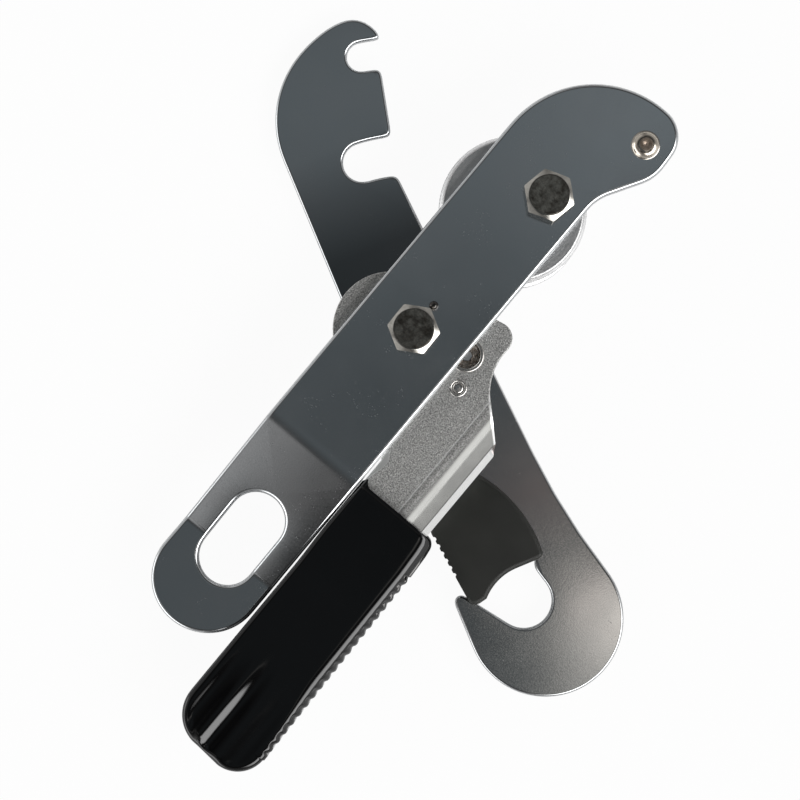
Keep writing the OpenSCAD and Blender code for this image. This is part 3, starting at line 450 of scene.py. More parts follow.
# spins a profile of (radius, height) points in millimetres round an upright axis
def latheOn(bm, points, axis, steps):
    x, y = axisAt[axis]
    row = [bm.verts.new(((x + r) * mm, y * mm, z * mm)) for r, z in points]
    line = [bm.edges.new(pair) for pair in zip(row, row[1:])]
    bmesh.ops.spin(bm, geom=row + line, cent=(x * mm, y * mm, 0.0), axis=(0.0, 0.0, 1.0), dvec=(0.0, 0.0, 0.0),
                   angle=2.0 * pi, steps=steps, use_merge=True, use_duplicate=False)
    bmesh.ops.remove_doubles(bm, verts=bm.verts, dist=weld["lathe"])


def turnOf(degrees):
    return cos(radians(degrees)), sin(radians(degrees))


# points on part of a rounded edge
def roundPoints(centreR, centreZ, radius, fromDeg, toDeg, count):
    turns = [turnOf(fromDeg + (toDeg - fromDeg) * i / count) for i in range(count + 1)]
    return [(centreR + radius * c, centreZ + radius * s) for c, s in turns]


def ringEdges(bm, ring):
    return [bm.edges.get((ring[i - 1], ring[i])) for i in range(len(ring))]


# the next ring of a drawn shape, in the same order as the last one
def nextRing(bm, ring):
    grown = set(grownFrom(bm, ringEdges(bm, ring)))
    return [next(e.other_vert(v) for e in v.link_edges if e.other_vert(v) in grown) for v in ring]


# a skin through equally long closed rows of places in millimetres; gives its first and last ring
def drawRings(bm, rows, capped=False):
    circle = bmesh.ops.create_circle(bm, cap_ends=capped, segments=len(rows[0]), radius=mm)["verts"]
    rings = [sorted(circle, key=lambda v: atan2(v.co.y, v.co.x))]
    for row in rows:
        for v, place in zip(rings[-1], row):
            v.co = scaled(place)
        if row is not rows[-1]:
            rings.append(nextRing(bm, rings[-1]))
    return rings[0], rings[-1]


def newObject(bm, name, material):
    mesh = bpy.data.meshes.new(name)
    bm.to_mesh(mesh)
    bm.free()
    obj = bpy.data.objects.new(name, mesh)
    bpy.context.scene.collection.objects.link(obj)
    obj.data.materials.append(material)
    return obj


def finishPiece(bm, name, nodeName, flatAngle=32.0):
    bmesh.ops.recalc_face_normals(bm, faces=bm.faces)
    for f in bm.faces:
        f.smooth = True
    for e in bm.edges:
        e.smooth = len(e.link_faces) == 2 and e.calc_face_angle(0.0) < radians(flatAngle)
    obj = newObject(bm, name, ownFinish.get(nodeName) or finishes[slotOf[nodeName]])
    weigh = obj.modifiers.new("weighFaces", "WEIGHTED_NORMAL")
    weigh.keep_sharp = True
    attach(obj, bodyOf[nodeName])
    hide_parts(nodeName)
    print("made", name)


# each pull moves the outline inwards by a depth near a place, and fades out round the hook's seat
plates = {
    "front_plate": {"radius": 1.2, "top": faceZ["front"], "ease": 4, "corners": (), "seat": axisAt["guide"],
                    "pulls": (((-10.6, -26.3), 12.0, -0.4),)},
    "swing_plate": {"radius": 0.9, "top": faceZ["swing"], "ease": 9, "seat": (-64.8, 130.06),
                    "corners": ((-65.3, 137.5), (-44.3, 118.4), (-57.3, 130.5), (-33.6, 108.7)),
                    "pulls": (((68.2, 48.2), 2.2, 2.2), ((-75.4, 134.5), 9.0, -0.8))},
    "thick": 3.0, "step": 0.45, "fewest": 24, "arc": 5, "bends": ((33.7, 2.6), (-5.7, 0.9)), "bendCuts": 5, "drop": 9.0,
    "upward": 0.3, "large": 100.0, "twin": 0.5, "seatFade": (6.0, 9.0), "cornerReach": 5.0, "cornerPasses": 12,
}


# area in plan, above zero if the row runs anticlockwise
def areaOf(row):
    return sum(a.x * b.y - b.x * a.y for a, b in zip(row, row[1:] + row[:1])) / 2.0


# closed rows of points round the upper side of a sheet, in plan, the outer one first
def sheetLoops(nodeName):
    bm = mergedCopy(nodeName)
    links = {}
    for e in bm.edges:
        if sum(f.normal.z > plates["upward"] for f in e.link_faces) == 1:
            for v in e.verts:
                links.setdefault(v, []).append(e.other_vert(v))
    loops = []
    while links:
        here, row = next(iter(links)), []
        while here is not None:
            near = links.pop(here)
            row.append(here.co / mm)
            here = next((v for v in near if v in links), None)
        loops.append(row)
    bm.free()
    kept = []
    for row in sorted(loops, key=lambda row: -abs(areaOf(row))):
        middle, large = sum(row, Vector()) / len(row), abs(areaOf(row)) > plates["large"]
        twin = any((k[0].xy - middle.xy).length < plates["twin"] and k[0].z > middle.z for k in kept)
        if large or not twin:
            turnedLeft = areaOf(row) > 0.0
            kept.append((middle, row if turnedLeft == (not kept) else row[::-1], large))
    return [(row, large) for middle, row, large in kept]


# one pass that eases a closed row, at every place or at those marked
def easedRow(places, marked=None):
    count = len(places)
    return [(places[k - 1] + places[k] * 2.0 + places[(k + 1) % count]) / 4.0 if marked is None or marked[k]
            else places[k] for k in range(count)]


# the same row at even steps, its corners eased
def evenRow(row, passes):
    ends = row[1:] + row[:1]
    total = sum((b.xy - a.xy).length for a, b in zip(row, ends))
    count = max(plates["fewest"], int(total / plates["step"]))
    out, walked, i = [], 0.0, 0
    for k in range(count):
        want = total * k / count
        while walked + (ends[i].xy - row[i].xy).length < want:
            walked += (ends[i].xy - row[i].xy).length
            i += 1
        gap = (ends[i].xy - row[i].xy).length
        out.append(row[i].xy.lerp(ends[i].xy, (want - walked) / gap))
    for _ in range(passes):
        out = easedRow(out)
    return out


# directions along a closed row
def sidesOf(places):
    return [(places[(k + 1) % len(places)] - places[k - 1]).normalized() for k in range(len(places))]


# the row after the plate's pulls, its named corners eased further
def pulledRow(places, p):
    sides = sidesOf(places)
    for centre, reach, depth in p["pulls"]:
        pull = [depth * exp(-((at - Vector(centre)).length / reach) ** 2)
                * easeStep((at - Vector(p["seat"])).length, *plates["seatFade"]) for at in places]
        places = [at + Vector((-side.y, side.x)) * much for at, side, much in zip(places, sides, pull)]
    near = [any((at - Vector(corner)).length < plates["cornerReach"] for corner in p["corners"]) for at in places]
    for _ in range(plates["cornerPasses"]):
        places = easedRow(places, near)
    return places


# how far the front plate has come down at a place along it
def bendDrop(y):
    (upperY, upperHalf), (lowerY, lowerHalf) = plates["bends"]
    slope = plates["drop"] / (upperY - lowerY)
    if y > upperY + upperHalf or y < lowerY - lowerHalf:
        return 0.0 if y > 0.0 else plates["drop"]
    if y > upperY - upperHalf:
        return slope * (upperY + upperHalf - y) ** 2 / (4.0 * upperHalf)
    if y < lowerY + lowerHalf:
        return plates["drop"] - slope * (y - lowerY + lowerHalf) ** 2 / (4.0 * lowerHalf)
    return slope * (upperY - y)


# a side plate: its outline with well rounded edges, as rope runs over them, its holes and its bends
def makePlate(nodeName, name):
    p = plates[nodeName]
    radius, top, low = p["radius"], p["top"], p["top"] - plates["thick"]
    arc = [turnOf(90.0 * k / plates["arc"]) for k in range(plates["arc"] + 1)]
    rounded = [(radius * (1.0 - s), radius * (1.0 - c)) for c, s in arc]
    bm = bmesh.new()
    caps = ([], [])
    for row, large in sheetLoops(nodeName):
        places = evenRow(row, p["ease"] if large else 0)
        levels = [(0.0, top), (0.0, low)]
        if large:
            places = pulledRow(places, p)
            levels = [(inset, top - fall) for inset, fall in rounded]
            levels += [(inset, low + fall) for inset, fall in reversed(rounded)]
        ways = list(zip(places, sidesOf(places)))
        rows = [[(at.x - side.y * inset, at.y + side.x * inset, z) for at, side in ways] for inset, z in levels]
        for edges, ring in zip(caps, drawRings(bm, rows)):
            edges.extend(ringEdges(bm, ring))
    for edges in caps:
        bmesh.ops.triangle_fill(bm, use_beauty=True, use_dissolve=False, edges=edges, normal=(0.0, 0.0, 1.0))
    if nodeName == "front_plate":
        cuts = plates["bendCuts"]
        for middle, half in plates["bends"]:
            for k in range(-cuts, cuts + 1):
                cutAt(bm, (0.0, (middle + half * k / cuts) * mm, 0.0), (0.0, 1.0, 0.0))
        for v in bm.verts:
            v.co.z -= bendDrop(v.co.y / mm) * mm
    finishPiece(bm, name, nodeName)


bolts = {"acrossFlats": 13.0, "headHeight": 5.3, "flat": 11.4, "corner": 0.35, "shank": 8.0, "tip": 0.7, "end": -17.3,
         "sunk": 0.4, "turn": {"cam": 1.0, "upper": -11.0}, "rim": 1.3, "leans": (30.0, 20.0, 10.0), "cuts": 72}


# a hexagon bar, its corners eased, then its top cut to a 30 degree cone with a soft rim, step by step
def makeBolt(axis):
    b = bolts
    base = faceZ["front"]
    top = base + b["headHeight"]
    bm = bmesh.new()
    bmesh.ops.create_circle(bm, cap_ends=True, segments=6, radius=b["acrossFlats"] / sqrt(3.0) * mm)
    turnBy(bm, bm.verts, radians(b["turn"][axis]), "Z")
    moveBy(bm, bm.verts, 0.0, 0.0, base)
    grown = bmesh.ops.extrude_face_region(bm, geom=bm.faces[:])
    moveBy(bm, vertsOf(grown["geom"]), 0.0, 0.0, top - base)
    closeHoles(bm)
    bmesh.ops.recalc_face_normals(bm, faces=bm.faces)
    roundOff(bm, [e for e in bm.edges if abs(e.verts[0].co.z - e.verts[1].co.z) > mm], b["corner"], 3)
    for lean in b["leans"]:
        c, s = turnOf(lean)
        reach = b["flat"] / 2.0 + b["rim"] * (s - tan(radians(b["leans"][0] / 2.0)))
        fall = b["rim"] * (1.0 - c)
        for i in range(b["cuts"]):
            x, y = turnOf(360.0 * i / b["cuts"])
            cutAt(bm, scaled((x * reach, y * reach, top - fall)), (x * s, y * s, c), True)
            closeHoles(bm)
    moveBy(bm, bm.verts, *axisAt[axis], 0.0)
    r, foot = b["shank"] / 2.0, base + b["sunk"]
    latheOn(bm, [(0.0, b["end"]), (r - b["tip"], b["end"]), (r, b["end"] + b["tip"]), (r, foot), (0.0, foot)], axis, 64)
    finishPiece(bm, axis + "Bolt", axis + "_bolt", 12.0)


lockPin = {"radius": 1.35, "foot": 7.2, "top": 12.0}


def makeLockPin():
    bm = bmesh.new()
    r, foot = lockPin["radius"], lockPin["foot"]
    latheOn(bm, [(0.0, foot), (r, foot)] + roundPoints(0.0, lockPin["top"] - r, r, 0.0, 90.0, 8), "lock", 40)
    finishPiece(bm, "lockPin", "bolt_lock_pin")


guidePin = {"button": 1.6, "shoulder": 2.6, "shoulderFrom": 16.0, "height": 2.0, "foot": 4.0, "shank": 3.0, "neck": 4.0,
            "neckTop": -12.502, "head": 6.0, "headHeight": 2.6, "rearEdge": 0.7, "neckEdge": 0.3,
            "worn": ((1.2, 0.03), (0.7, 0.08), (0.49, 0.2), (0.245, 0.34), (0.0, 0.38))}


# button head with a worn middle and a dimple, shank, hook neck and rear head
def makeGuidePin():
    bm = bmesh.new()
    front, rear, g = faceZ["front"], faceZ["table"], guidePin
    top, behind, inner, edge = front + g["height"], rear + g["headHeight"], g["neckEdge"], g["rearEdge"]
    points = [(0.0, rear)] + roundPoints(g["head"] - edge, rear + edge, edge, -90.0, 0.0, 4)
    points += roundPoints(g["head"] - inner, behind - inner, inner, 0.0, 90.0, 3)
    points += [(g["neck"], behind), (g["neck"], g["neckTop"]), (g["shank"], g["neckTop"]), (g["shank"], front)]
    points += [(g["foot"], front)]
    points += roundPoints(g["button"], top - g["shoulder"], g["shoulder"], g["shoulderFrom"], 90.0, 16)
    points += [(r, top - fall) for r, fall in g["worn"]]
    latheOn(bm, points, "guide", 64)
    finishPiece(bm, "guidePin", "guide_pin")


# radius and segments of the broken edges
eased = {"upper_post": (0.35, 3), "cam_post": (0.35, 3), "guide_sleeve": (0.4, 3), "cam_bush": (0.2, 2),
         "upper_bobbin": (0.35, 3), "bobbin_dowel": (0.3, 2), "front_washer": (0.12, 2), "rear_washer": (0.12, 2),
         "gate_rivet": (0.25, 3)}


# turned pieces keep the solid's shape and get their edges broken
def makeEased():
    for nodeName, (radius, segments) in eased.items():
        bm = mergedCopy(nodeName)
        roundOff(bm, sharpEdges(bm), radius, segments)
        finishPiece(bm, "eased_" + nodeName, nodeName)


camBobbin = {"circles": (((-4.6, 73.9), 15.0), ((15.5, 70.8), 10.0), ((14.6, 84.3), 9.1)), "grooveRadius": 5.6,
             "grooveDepth": 3.0, "grooveSteps": 16, "mouth": ((0.0, 0.25), (0.1, 0.05)), "rim": 0.7, "bore": 7.04,
             "points": 180, "low": -12.102, "high": 3.098}


# the cam's edge: the outermost of three circles in each direction, drawn in by a depth
def camEdge(turn, depth):
    n = Vector((cos(turn), sin(turn)))
    centre, radius = max(camBobbin["circles"], key=lambda c: Vector(c[0]).dot(n) + c[1])
    return Vector(centre) + (radius - depth) * n


# ring upon ring from the rear face through the smooth rope groove to the front face, then the bore
def makeCamBobbin():
    c = camBobbin
    mid = (c["low"] + c["high"]) / 2.0
    outer = c["grooveRadius"] - c["grooveDepth"]
    half = sqrt(c["grooveRadius"] ** 2 - outer ** 2)
    levels = [(c["rim"] * (1.0 - x), c["low"] + c["rim"] * (1.0 - y)) for x, y in map(turnOf, (90, 60, 30, 0))]
    levels += [(depth, mid - half - before) for depth, before in c["mouth"]]
    mirrored = [(depth, 2.0 * mid - z) for depth, z in reversed(levels)]
    for i in range(1, c["grooveSteps"]):
        z = -half + 2.0 * half * i / c["grooveSteps"]
        levels.append((sqrt(c["grooveRadius"] ** 2 - z * z) - outer, mid + z))
    turns = [2.0 * pi * i / c["points"] for i in range(c["points"])]
    bm = bmesh.new()
    ends = drawRings(bm, [[(*camEdge(turn, depth), z) for turn in turns] for depth, z in levels + mirrored])
    mouths = []
    for z, ring in zip((c["low"], c["high"]), ends):
        bore = bmesh.ops.create_circle(bm, segments=c["points"], radius=c["bore"] * mm)["verts"]
        moveBy(bm, bore, *axisAt["cam"], z)
        mouths.append(edgesOf(bore))
        bmesh.ops.bridge_loops(bm, edges=mouths[-1] + ringEdges(bm, ring))
    bmesh.ops.bridge_loops(bm, edges=mouths[0] + mouths[1])
    finishPiece(bm, "camBobbin", "cam_bobbin")


handle = {"radius": 0.45, "segments": 3, "rolledTo": 29.55, "rolledAbove": 46.5,
          "kept": (("cam", 8.0), ("screw", 5.0), ("pin", 3.0)), "fill": (1.58, 8.8, 1.7), "fillAt": (17.21, 38.9),
          "lip": ((38.38, 1.53), (40.4, -0.5), (40.52, -6.2), (38.9, -6.2)), "lipFrom": 38.4, "lipReach": 1.05,
          "lipRows": ((34.0, 0.0), (64.3, 0.0), (65.2, 0.3), (65.9, 0.85))}


# the pressed handle: the edges of its flat are rolled, a lip runs along the turned side, the left flange is closed up
def makeHandle():
    bm = mergedCopy("handle_arm")
    h, top = handle, faceZ["handle"]
    chosen = []
    for e in sharpEdges(bm, 50.0):
        ends = endsAt(e, top)
        if ends and not any(nearAxis(e, name, radius) for name, radius in h["kept"]):
            if min(v.x for v in ends) < h["rolledTo"] and min(v.y for v in ends) > h["rolledAbove"]:
                chosen.append(e)
    roundOff(bm, chosen, h["radius"], h["segments"])
    fill = bmesh.ops.create_cube(bm, size=mm)["verts"]
    bmesh.ops.scale(bm, verts=fill, vec=h["fill"])
    moveBy(bm, fill, *h["fillAt"], top - h["fill"][2] / 2.0)
    drawRings(bm, [[(x - draw * max(0.0, x - h["lipFrom"]) / h["lipReach"], y, z) for x, z in h["lip"]]
                   for y, draw in h["lipRows"]], True)
    closeHoles(bm)
    finishPiece(bm, "handleArm", "handle_arm", 28.0)


grip = {"top": 34.8, "bottom": -53.1, "upper": 7.75, "lower": -6.25, "edge": 4.6, "lowEdge": 1.9, "leftEdge": 1.7,
        "endEdge": 2.0, "shoulderY": (-42.0, -16.0), "left": 16.4, "leftLean": (0.3, 88.0), "bulge": 0.44,
        "bulgeY": (4.0, 20.0), "neckY": 29.8, "neck": 43.05, "neckLean": (0.75, 5.0), "neckCorner": 2.5, "right": 43.8,
        "rightLean": (1.4, 73.4), "rightStep": (0.35, 8.0), "leftCorner": (27.7, -41.5, 11.0),
        "rightCorner": (35.7, -43.6, 9.5), "floor": -52.5, "floorFall": (0.6, 8.1), "thin": 0.02,
        "firstRib": 22.3, "ribs": 20, "pitch": 3.2, "ribDepth": 0.6, "ribPower": 2.5, "ribFade": (0.9, 1.9),
        "flute": 0.2, "fluteStep": 8.7, "fluteAt": 19.6, "swells": ((28.3, 3.6, 0.54), (20.0, 2.5, 0.3)),
        "waveY": (-14.0, -40.0), "waveSide": (0.8, 3.4), "waveEnd": (0.2, 2.4), "lip": 0.3, "lipAt": 0.55,
        "lipReach": 0.4, "tab": 1.9, "tabAt": 17.0, "tabReach": 1.3, "wide": 64, "tall": 6, "rimSlices": 5,
        "rimStep": 0.3, "slices": 165, "endSlices": 60, "endLength": 12.0}


def gripLeft(y):
    lean, length = grip["leftLean"]
    return grip["left"] + lean * (grip["top"] - y) / length - grip["bulge"] * easeStep(y, *grip["bulgeY"])


def gripRight(y):
    below = grip["neckY"] - y
    if below < 0.0:
        radius, (lean, length) = grip["neckCorner"], grip["neckLean"]
        corner = radius - sqrt(max(0.0, radius ** 2 - max(0.0, y - grip["top"] + radius) ** 2))
        return grip["neck"] + lean * (grip["top"] - y) / length - corner
    (lean, length), (step, reach) = grip["rightLean"], grip["rightStep"]
    return grip["right"] + lean * below / length + step * min(1.0, below / reach)


def gripFloor(x):
    fall, length = grip["floorFall"]
    return grip["floor"] - fall * min(1.0, max(0.0, (x - grip["leftCorner"][0]) / length))


# distances inwards from the grip's left side, right side and lower end
def gripDepth(x, y):
    (lx, ly, lr), (rx, ry, rr) = grip["leftCorner"], grip["rightCorner"]
    left = lr - hypot(x - lx, y - ly) if y < ly and x < lx else x - gripLeft(y)
    right = rr - hypot(x - rx, y - ry) if y < ry and x > rx else gripRight(y) - x
    return max(0.0, left), max(0.0, right), max(0.0, y - gripFloor(x))


def edgeFall(depth, radius):
    return radius - sqrt(max(0.0, radius ** 2 - (radius - min(depth, radius)) ** 2))


def gripSpan(y):
    left, right = gripLeft(y), gripRight(y)
    (lx, ly, lr), (rx, ry, rr) = grip["leftCorner"], grip["rightCorner"]
    if y < ly:
        left = lx - sqrt(max(0.0, lr ** 2 - (y - ly) ** 2))
    if y < grip["floor"]:
        fall, length = grip["floorFall"]
        left = lx + (grip["floor"] - y) / fall * length
    if y < ry:
        right = rx + sqrt(max(0.0, rr ** 2 - (y - ry) ** 2))
    return left, max(right, left + grip["thin"])


# one place on the grip's upper or under side, with its distance inwards
def gripPlace(x, y, side, shoulder):
    g = grip
    fromLeft, fromRight, fromEnd = gripDepth(x, y)
    drop = max(edgeFall(fromLeft, g["leftEdge"]), edgeFall(fromRight, shoulder), edgeFall(fromEnd, g["endEdge"]))
    z = g["upper"] - drop if side > 0 else g["lower"] + drop
    if side > 0:
        wave = easeStep(y, *g["waveY"]) * easeStep(min(fromLeft, fromRight), *g["waveSide"])
        height = g["flute"] + sum(much * exp(-((x - at) / reach) ** 2) for at, reach, much in g["swells"])
        phase = (x - g["fluteAt"]) / g["fluteStep"] + 0.25
        z += height * wave * easeStep(fromEnd, *g["waveEnd"]) * cos(2.0 * pi * phase)
    z += side * g["lip"] * exp(-((g["top"] - g["lipAt"] - y) / g["lipReach"]) ** 2)
    return [x, y, z, min(fromLeft, fromRight, fromEnd)]


# one slice of the grip as a closed row of places
def gripSlice(y):
    g = grip
    left, right = gripSpan(y)
    shoulder = g["lowEdge"] + (g["edge"] - g["lowEdge"]) * easeStep(y, *g["shoulderY"])
    shares = [0.5 - 0.5 * cos(pi * i / (g["wide"] - 1)) for i in range(g["wide"])]
    upper, under = ([gripPlace(left + (right - left) * s, y, side, shoulder) for s in shares] for side in (1, -1))
    steps = [(k + 1) / (g["tall"] + 1) for k in range(g["tall"])]
    rightWall = [[upper[-1][0], y, upper[-1][2] + (under[-1][2] - upper[-1][2]) * s, 0.0] for s in steps]
    leftWall = [[upper[0][0], y, under[0][2] + (upper[0][2] - under[0][2]) * s, 0.0] for s in steps]
    if y > g["top"] - 0.01:
        for p in upper:
            p[1] += g["tab"] * max(0.0, 1.0 - abs(p[0] - g["tabAt"]) / g["tabReach"])
    ring = upper + rightWall + under[::-1] + leftWall
    if g["firstRib"] - g["ribs"] * g["pitch"] < y < g["firstRib"]:
        cut = g["ribDepth"] * abs(cos(pi * (g["firstRib"] - y) / g["pitch"])) ** g["ribPower"]
        for p in ring:
            if p[0] > (left + right) / 2.0:
                p[0] -= cut * (1.0 - easeStep(p[3], *g["ribFade"]))
    return [p[:3] for p in ring]


# the grip is drawn slice by slice along the arm, closer together at both ends
def makeGrip():
    g = grip
    plan = [g["top"] - g["rimStep"] * i for i in range(g["rimSlices"])]
    first, length = g["top"] - g["rimStep"] * g["rimSlices"], g["top"] - g["bottom"] - g["endLength"]
    plan += [first - length * i / g["slices"] for i in range(g["slices"])]
    rest = plan[-1] - g["bottom"]
    plan += [g["bottom"] + rest * (1.0 - sin(pi / 2.0 * i / g["endSlices"])) for i in range(1, g["endSlices"])]
    bm = bmesh.new()
    drawRings(bm, [gripSlice(y) for y in plan])
    closeHoles(bm)
    bmesh.ops.remove_doubles(bm, verts=bm.verts, dist=weld["grip"])
    finishPiece(bm, "handleGrip", "handle_grip", 50.0)


camScrew = {"head": 4.95, "rim": 1.1, "rimFoot": 0.02, "rimHeight": 0.32, "cone": ((2.5, 2.0), (4.4, 0.1)),
            "well": ((3.75, 0.25), (3.5, 1.1), (1.98, 1.0), (1.73, 1.1)), "shank": 2.5, "tip": 0.5, "end": -8.4,
            "socket": 1.6608, "socketTop": 1.2, "socketDepth": 2.0}


# countersunk screw with a raised rim, a shallow well and a hexagon socket
def makeCamScrew():
    s = camScrew
    top = faceZ["handle"]
    bm = bmesh.new()
    points = [(0.0, s["end"]), (s["shank"] - s["tip"], s["end"]), (s["shank"], s["end"] + s["tip"])]
    points += [(r, top - fall) for r, fall in s["cone"]]
    for across, up in map(turnOf, range(0, 181, 20)):
        points.append((s["head"] - s["rim"] * (0.5 - 0.5 * across), top + s["rimFoot"] + s["rimHeight"] * up))
    points += [(r, top - fall) for r, fall in s["well"]]
    latheOn(bm, points, "screw", 48)
    mouth = openEdges(bm)
    hexagon = bmesh.ops.create_circle(bm, segments=6, radius=s["socket"] * mm)["verts"]
    moveBy(bm, hexagon, *axisAt["screw"], top - s["socketTop"])
    sides = edgesOf(hexagon)
    bmesh.ops.bridge_loops(bm, edges=mouth + sides)
    moveBy(bm, grownFrom(bm, sides), 0.0, 0.0, -s["socketDepth"])
    closeHoles(bm)
    finishPiece(bm, "camScrew", "cam_screw", 24.0)


camPin = {"radius": 1.5, "end": 1.0, "crownFoot": -0.25, "crown": 0.3, "ring": (1.78, 2.6), "ringFoot": -0.6,
          "hoopFoot": -0.1, "hoop": 0.35}


# a pin with a slightly domed end, standing in a raised ring
def makeCamPin():
    p = camPin
    top = faceZ["handle"]
    bm = bmesh.new()
    points = [(0.0, p["end"]), (p["radius"], p["end"])]
    for across, up in map(turnOf, (0, 20, 40, 60, 75, 90)):
        points.append((p["radius"] * across, top + p["crownFoot"] + p["crown"] * up))
    latheOn(bm, points, "pin", 40)
    low, high = p["ring"]
    foot = top + p["ringFoot"]
    points = [(low, foot)]
    for across, up in map(turnOf, range(0, 181, 20)):
        points.append(((low + high) / 2.0 - (high - low) / 2.0 * across, top + p["hoopFoot"] + p["hoop"] * up))
    latheOn(bm, points + [(high, foot), (low, foot)], "pin", 40)
    finishPiece(bm, "camPin", "cam_pin")


gate = {"radius": 1.4, "segments": 6, "open": 62.4, "clear": 5.2, "across": -11.5, "along": -76.5}


# the catch: its right and lower edges are softly rounded, the thumb side keeps its grooves
def makeGate():
    bm = mergedCopy("gate")
    c, s = turnOf(gate["open"])
    chosen = []
    for e in sharpEdges(bm, 50.0):
        ends = endsAt(e, faceZ["gate"])
        if ends and not nearAxis(e, "gate", gate["clear"]):
            mid = (ends[0] + ends[1]) / 2.0
            up = mid.y - axisAt["cam"][1]
            if mid.x * c + up * s > gate["across"] or -mid.x * s + up * c < gate["along"]:
                chosen.append(e)
    roundOff(bm, chosen, gate["radius"], gate["segments"])
    finishPiece(bm, "eyeGate", "gate", 40.0)


spring = {"wire": 0.45, "coil": 4.0, "turns": 2.389, "low": -12.302, "rise": 0.97, "foot": 0.5, "leg": 8.0,
          "from": 122.4, "stepsInTurn": 36}


# wire wound about the rivet: a spin that climbs, with a foot and a straight leg
def makeSpring():
    s = spring
    x, y = axisAt["gate"]
    bm = bmesh.new()
    start = radians(s["from"])
    wire = bmesh.ops.create_circle(bm, segments=12, radius=s["wire"] * mm)["verts"]
    turnBy(bm, wire, pi / 2.0, "X")
    moveBy(bm, wire, s["coil"], 0.0, 0.0)
    turnBy(bm, wire, start, "Z")
    moveBy(bm, wire, x, y, s["low"])
    loop = edgesOf(wire)
    moveBy(bm, grownFrom(bm, loop), sin(start) * s["foot"], -cos(start) * s["foot"], 0.0)
    steps, wind = int(s["stepsInTurn"] * s["turns"]), 2.0 * pi * s["turns"]
    wound = bmesh.ops.spin(bm, geom=wire + loop, cent=(x * mm, y * mm, 0.0), axis=(0.0, 0.0, 1.0),
                           dvec=(0.0, 0.0, s["rise"] * s["turns"] / steps * mm), angle=wind, steps=steps,
                           use_duplicate=False)
    last = [e for e in wound["geom_last"] if isinstance(e, bmesh.types.BMEdge)]
    turn = start + wind
    moveBy(bm, grownFrom(bm, last), -sin(turn) * s["leg"], cos(turn) * s["leg"], 0.0)
    closeHoles(bm)
    finishPiece(bm, "gateSpring", "gate_spring", 60.0)


makePlate("front_plate", "frontPlate")
makePlate("swing_plate", "swingPlate")
makeBolt("upper")
makeBolt("cam")
makeLockPin()
makeGuidePin()
makeEased()
makeCamBobbin()
makeHandle()
makeGrip()
makeCamScrew()
makeCamPin()
makeGate()
makeSpring()

stage = {"half": 3.0, "paper": 0.9, "glow": 0.95, "mirrored": 0.1}


# pale floor: nearly all glow as it is seen, mostly paper in mirrors, with a soft shadow under the part
def makeFloor():
    bm = bmesh.new()
    bmesh.ops.create_grid(bm, x_segments=1, y_segments=1, size=stage["half"])
    moveBy(bm, bm.verts, 0.0, 0.0, faceZ["table"])
    mat = bpy.data.materials.new("floorWhite")
    mat.use_nodes = True
    tree = mat.node_tree
    tree.nodes.remove(tree.nodes["Principled BSDF"])
    paper = tree.nodes.new("ShaderNodeBsdfDiffuse")
    paper.inputs["Color"].default_value = (*grey(stage["paper"]), 1.0)
    glow = tree.nodes.new("ShaderNodeEmission")
    path = tree.nodes.new("ShaderNodeLightPath").outputs
    seen = productOn(mathOn("MAXIMUM", path["Is Camera Ray"], path["Is Transmission Ray"]), stage["glow"])
    share = mathOn("MAXIMUM", seen, productOn(path["Is Glossy Ray"], stage["mirrored"]))
    both = nodeOn("MixShader", {0: share, 1: paper.outputs[0], 2: glow.outputs[0]})
    tree.links.new(both.outputs[0], tree.nodes["Material Output"].inputs["Surface"])
    floor = newObject(bm, "floor", mat)


light = {
    "dome": ((0.0, 0.078), (0.05, 0.09), (0.1, 0.103), (0.2, 0.108), (0.3, 0.08), (0.5, 0.03), (0.65, 0.08),
             (0.8, 0.36), (0.9, 0.9), (1.0, 0.95)),
    "cool": (0.88, 0.99, 1.05), "warm": (1.06, 1.0, 0.94), "plain": (1.0, 1.0, 1.0),
    "imageRight": (0.7677, 0.6408), "imageDown": (0.6408, -0.7677), "nearLeft": (-0.463, -0.886),
}
# where each light starts and is full, along x, y or z or as a slope from straight up, and its strength
sky = {
    "front": (0.62, 0.8, 0.35), "shade": (-0.4, -0.6, 0.5), "back": (0.45, 0.75, 0.45), "zenith": (0.25, 0.45, 0.0),
    "boxFrom": (0.4, 0.5, 1.0), "boxTo": (0.84, 0.72, 1.0), "boxSide": (0.62, 0.4, 1.0), "right": (0.3, 0.5, 4.7),
    "left": (-0.3, -0.5, 0.25), "nearFrom": (0.02, 0.1, 1.0), "nearTo": (0.46, 0.36, 1.0), "nearLeft": (0.68, 0.8, 2.0),
    "lowFrom": (0.062, 0.094, 1.0), "lowTo": (0.1, 0.14, 0.4), "lowRight": (0.058, 0.104, 1.08),
    "lowHigh": (0.945, 0.978, 1.0), "veilFrom": (-0.02, 0.02, 1.0), "veil": (0.02, 0.075, 0.09),
    "highFrom": (-0.05, -0.12, 1.0), "highRight": (0.02, 0.12, 0.05), "top": (-0.04, -0.22, 0.065),
    "upperHigh": (0.9, 0.96, 1.0), "tailFrom": (-0.4, -0.5, 1.0), "tail": (-0.03, -0.1, 0.33),
    "tailHigh": (0.78, 0.83, 1.0),
}


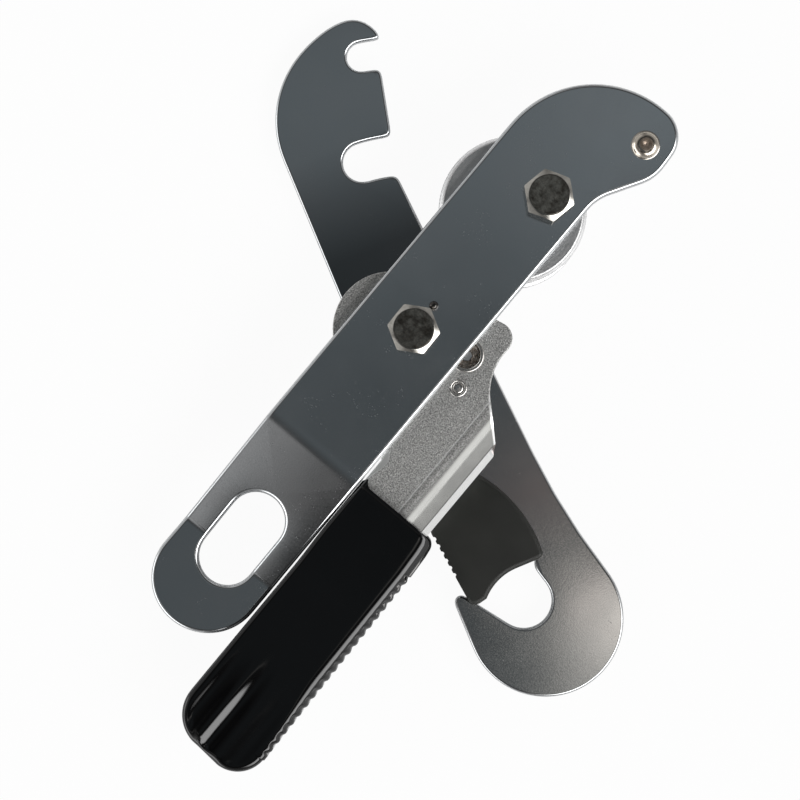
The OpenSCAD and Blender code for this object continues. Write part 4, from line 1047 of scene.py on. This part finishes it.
# a dim ceiling, bright softboxes to the right and left of the part and weaker glows near the eye
def makeWorld():
    world = bpy.data.worlds.new("studio")
    bpy.context.scene.world = world
    world.use_nodes = True
    tree = world.node_tree
    tree.nodes.remove(tree.nodes["Background"])
    coord = tree.nodes.new("ShaderNodeTexCoord")
    x, y, z = splitOn(coord.outputs["Generated"])

    def soft(value, name, start=0.0, kind=softOn):
        return kind(value, sky[name][:2], (start, sky[name][2]))

    def even(value, name):
        return soft(value, name, 0.0, rangeOn)

    def slope(value):
        return mathOn("DIVIDE", value, z)

    aside = mathOn("SQRT", mathOn("MAXIMUM", mathOn("SUBTRACT", 1.0, productOn(z, z)), 0.0))
    dome = rampOn(aside, [(place, grey(v)) for place, v in light["dome"]])
    towards = alongOn(x, y, light["imageDown"])
    for value, name in ((towards, "front"), (x, "shade"), (y, "back")):
        dome = productOn(dome, soft(value, name, 1.0))
    zenith = productOn(dome, soft(aside, "zenith", 1.0))
    box = productOn(soft(z, "boxFrom"), soft(z, "boxTo"), soft(mathOn("ABSOLUTE", y), "boxSide"))
    right, left = productOn(box, soft(x, "right")), productOn(box, soft(x, "left"))
    nearLeft = productOn(soft(z, "nearFrom"), soft(z, "nearTo"), soft(alongOn(x, y, light["nearLeft"]), "nearLeft"))
    sideways, down = slope(alongOn(x, y, light["imageRight"])), slope(towards)
    lowRight = productOn(soft(down, "lowFrom"), even(sideways, "lowRight"), soft(down, "lowTo", 1.0))
    veil = productOn(soft(down, "veilFrom"), even(sideways, "veil"))
    lowRight = productOn(soft(z, "lowHigh"), sumOn(lowRight, veil))
    upper = sumOn(productOn(soft(down, "highFrom"), soft(sideways, "highRight")), soft(down, "top"))
    upper = productOn(soft(z, "upperHigh"), upper)
    tail = productOn(soft(slope(y), "tailFrom"), even(slope(x), "tail"), soft(z, "tailHigh"))
    plainSky = sumOn(mathOn("SUBTRACT", dome, zenith), tail)
    layers = [nodeOn("Background", {"Color": light[colour], "Strength": strength}).outputs[0] for colour, strength in (
        ("cool", sumOn(zenith, upper)), ("warm", lowRight), ("plain", sumOn(right, left, nearLeft, plainSky)))]
    lit = nodeOn("AddShader", {0: layers[0], 1: layers[1]}).outputs[0]
    lit = nodeOn("AddShader", {0: lit, 1: layers[2]}).outputs[0]
    backdrop = tree.nodes.new("ShaderNodeBackground")
    backdrop.inputs["Color"].default_value = (*light["plain"], 1.0)
    seen = tree.nodes.new("ShaderNodeLightPath").outputs["Is Camera Ray"]
    both = nodeOn("MixShader", {0: seen, 1: lit, 2: backdrop.outputs[0]})
    tree.links.new(both.outputs[0], tree.nodes["World Output"].inputs["Surface"])


viewpoint = {"place": (25.3, 58.0, 497.2), "lens": 77.87, "sensor": 36.0, "turn": 39.85, "shift": (-0.04875, 0.05),
             "nearest": 0.01}


def makeCamera():
    data = bpy.data.cameras.new("camera")
    data.lens = viewpoint["lens"]
    data.sensor_width = viewpoint["sensor"]
    data.shift_x, data.shift_y = viewpoint["shift"]
    data.clip_start = viewpoint["nearest"]
    cam = bpy.data.objects.new("camera", data)
    bpy.context.scene.collection.objects.link(cam)
    cam.location = scaled(viewpoint["place"])
    cam.rotation_euler = (0.0, 0.0, radians(viewpoint["turn"]))
    bpy.context.scene.camera = cam


makeFloor()
makeWorld()
makeCamera()
bpy.context.scene.view_settings.view_transform = "Standard"
print("stage, light and camera set")
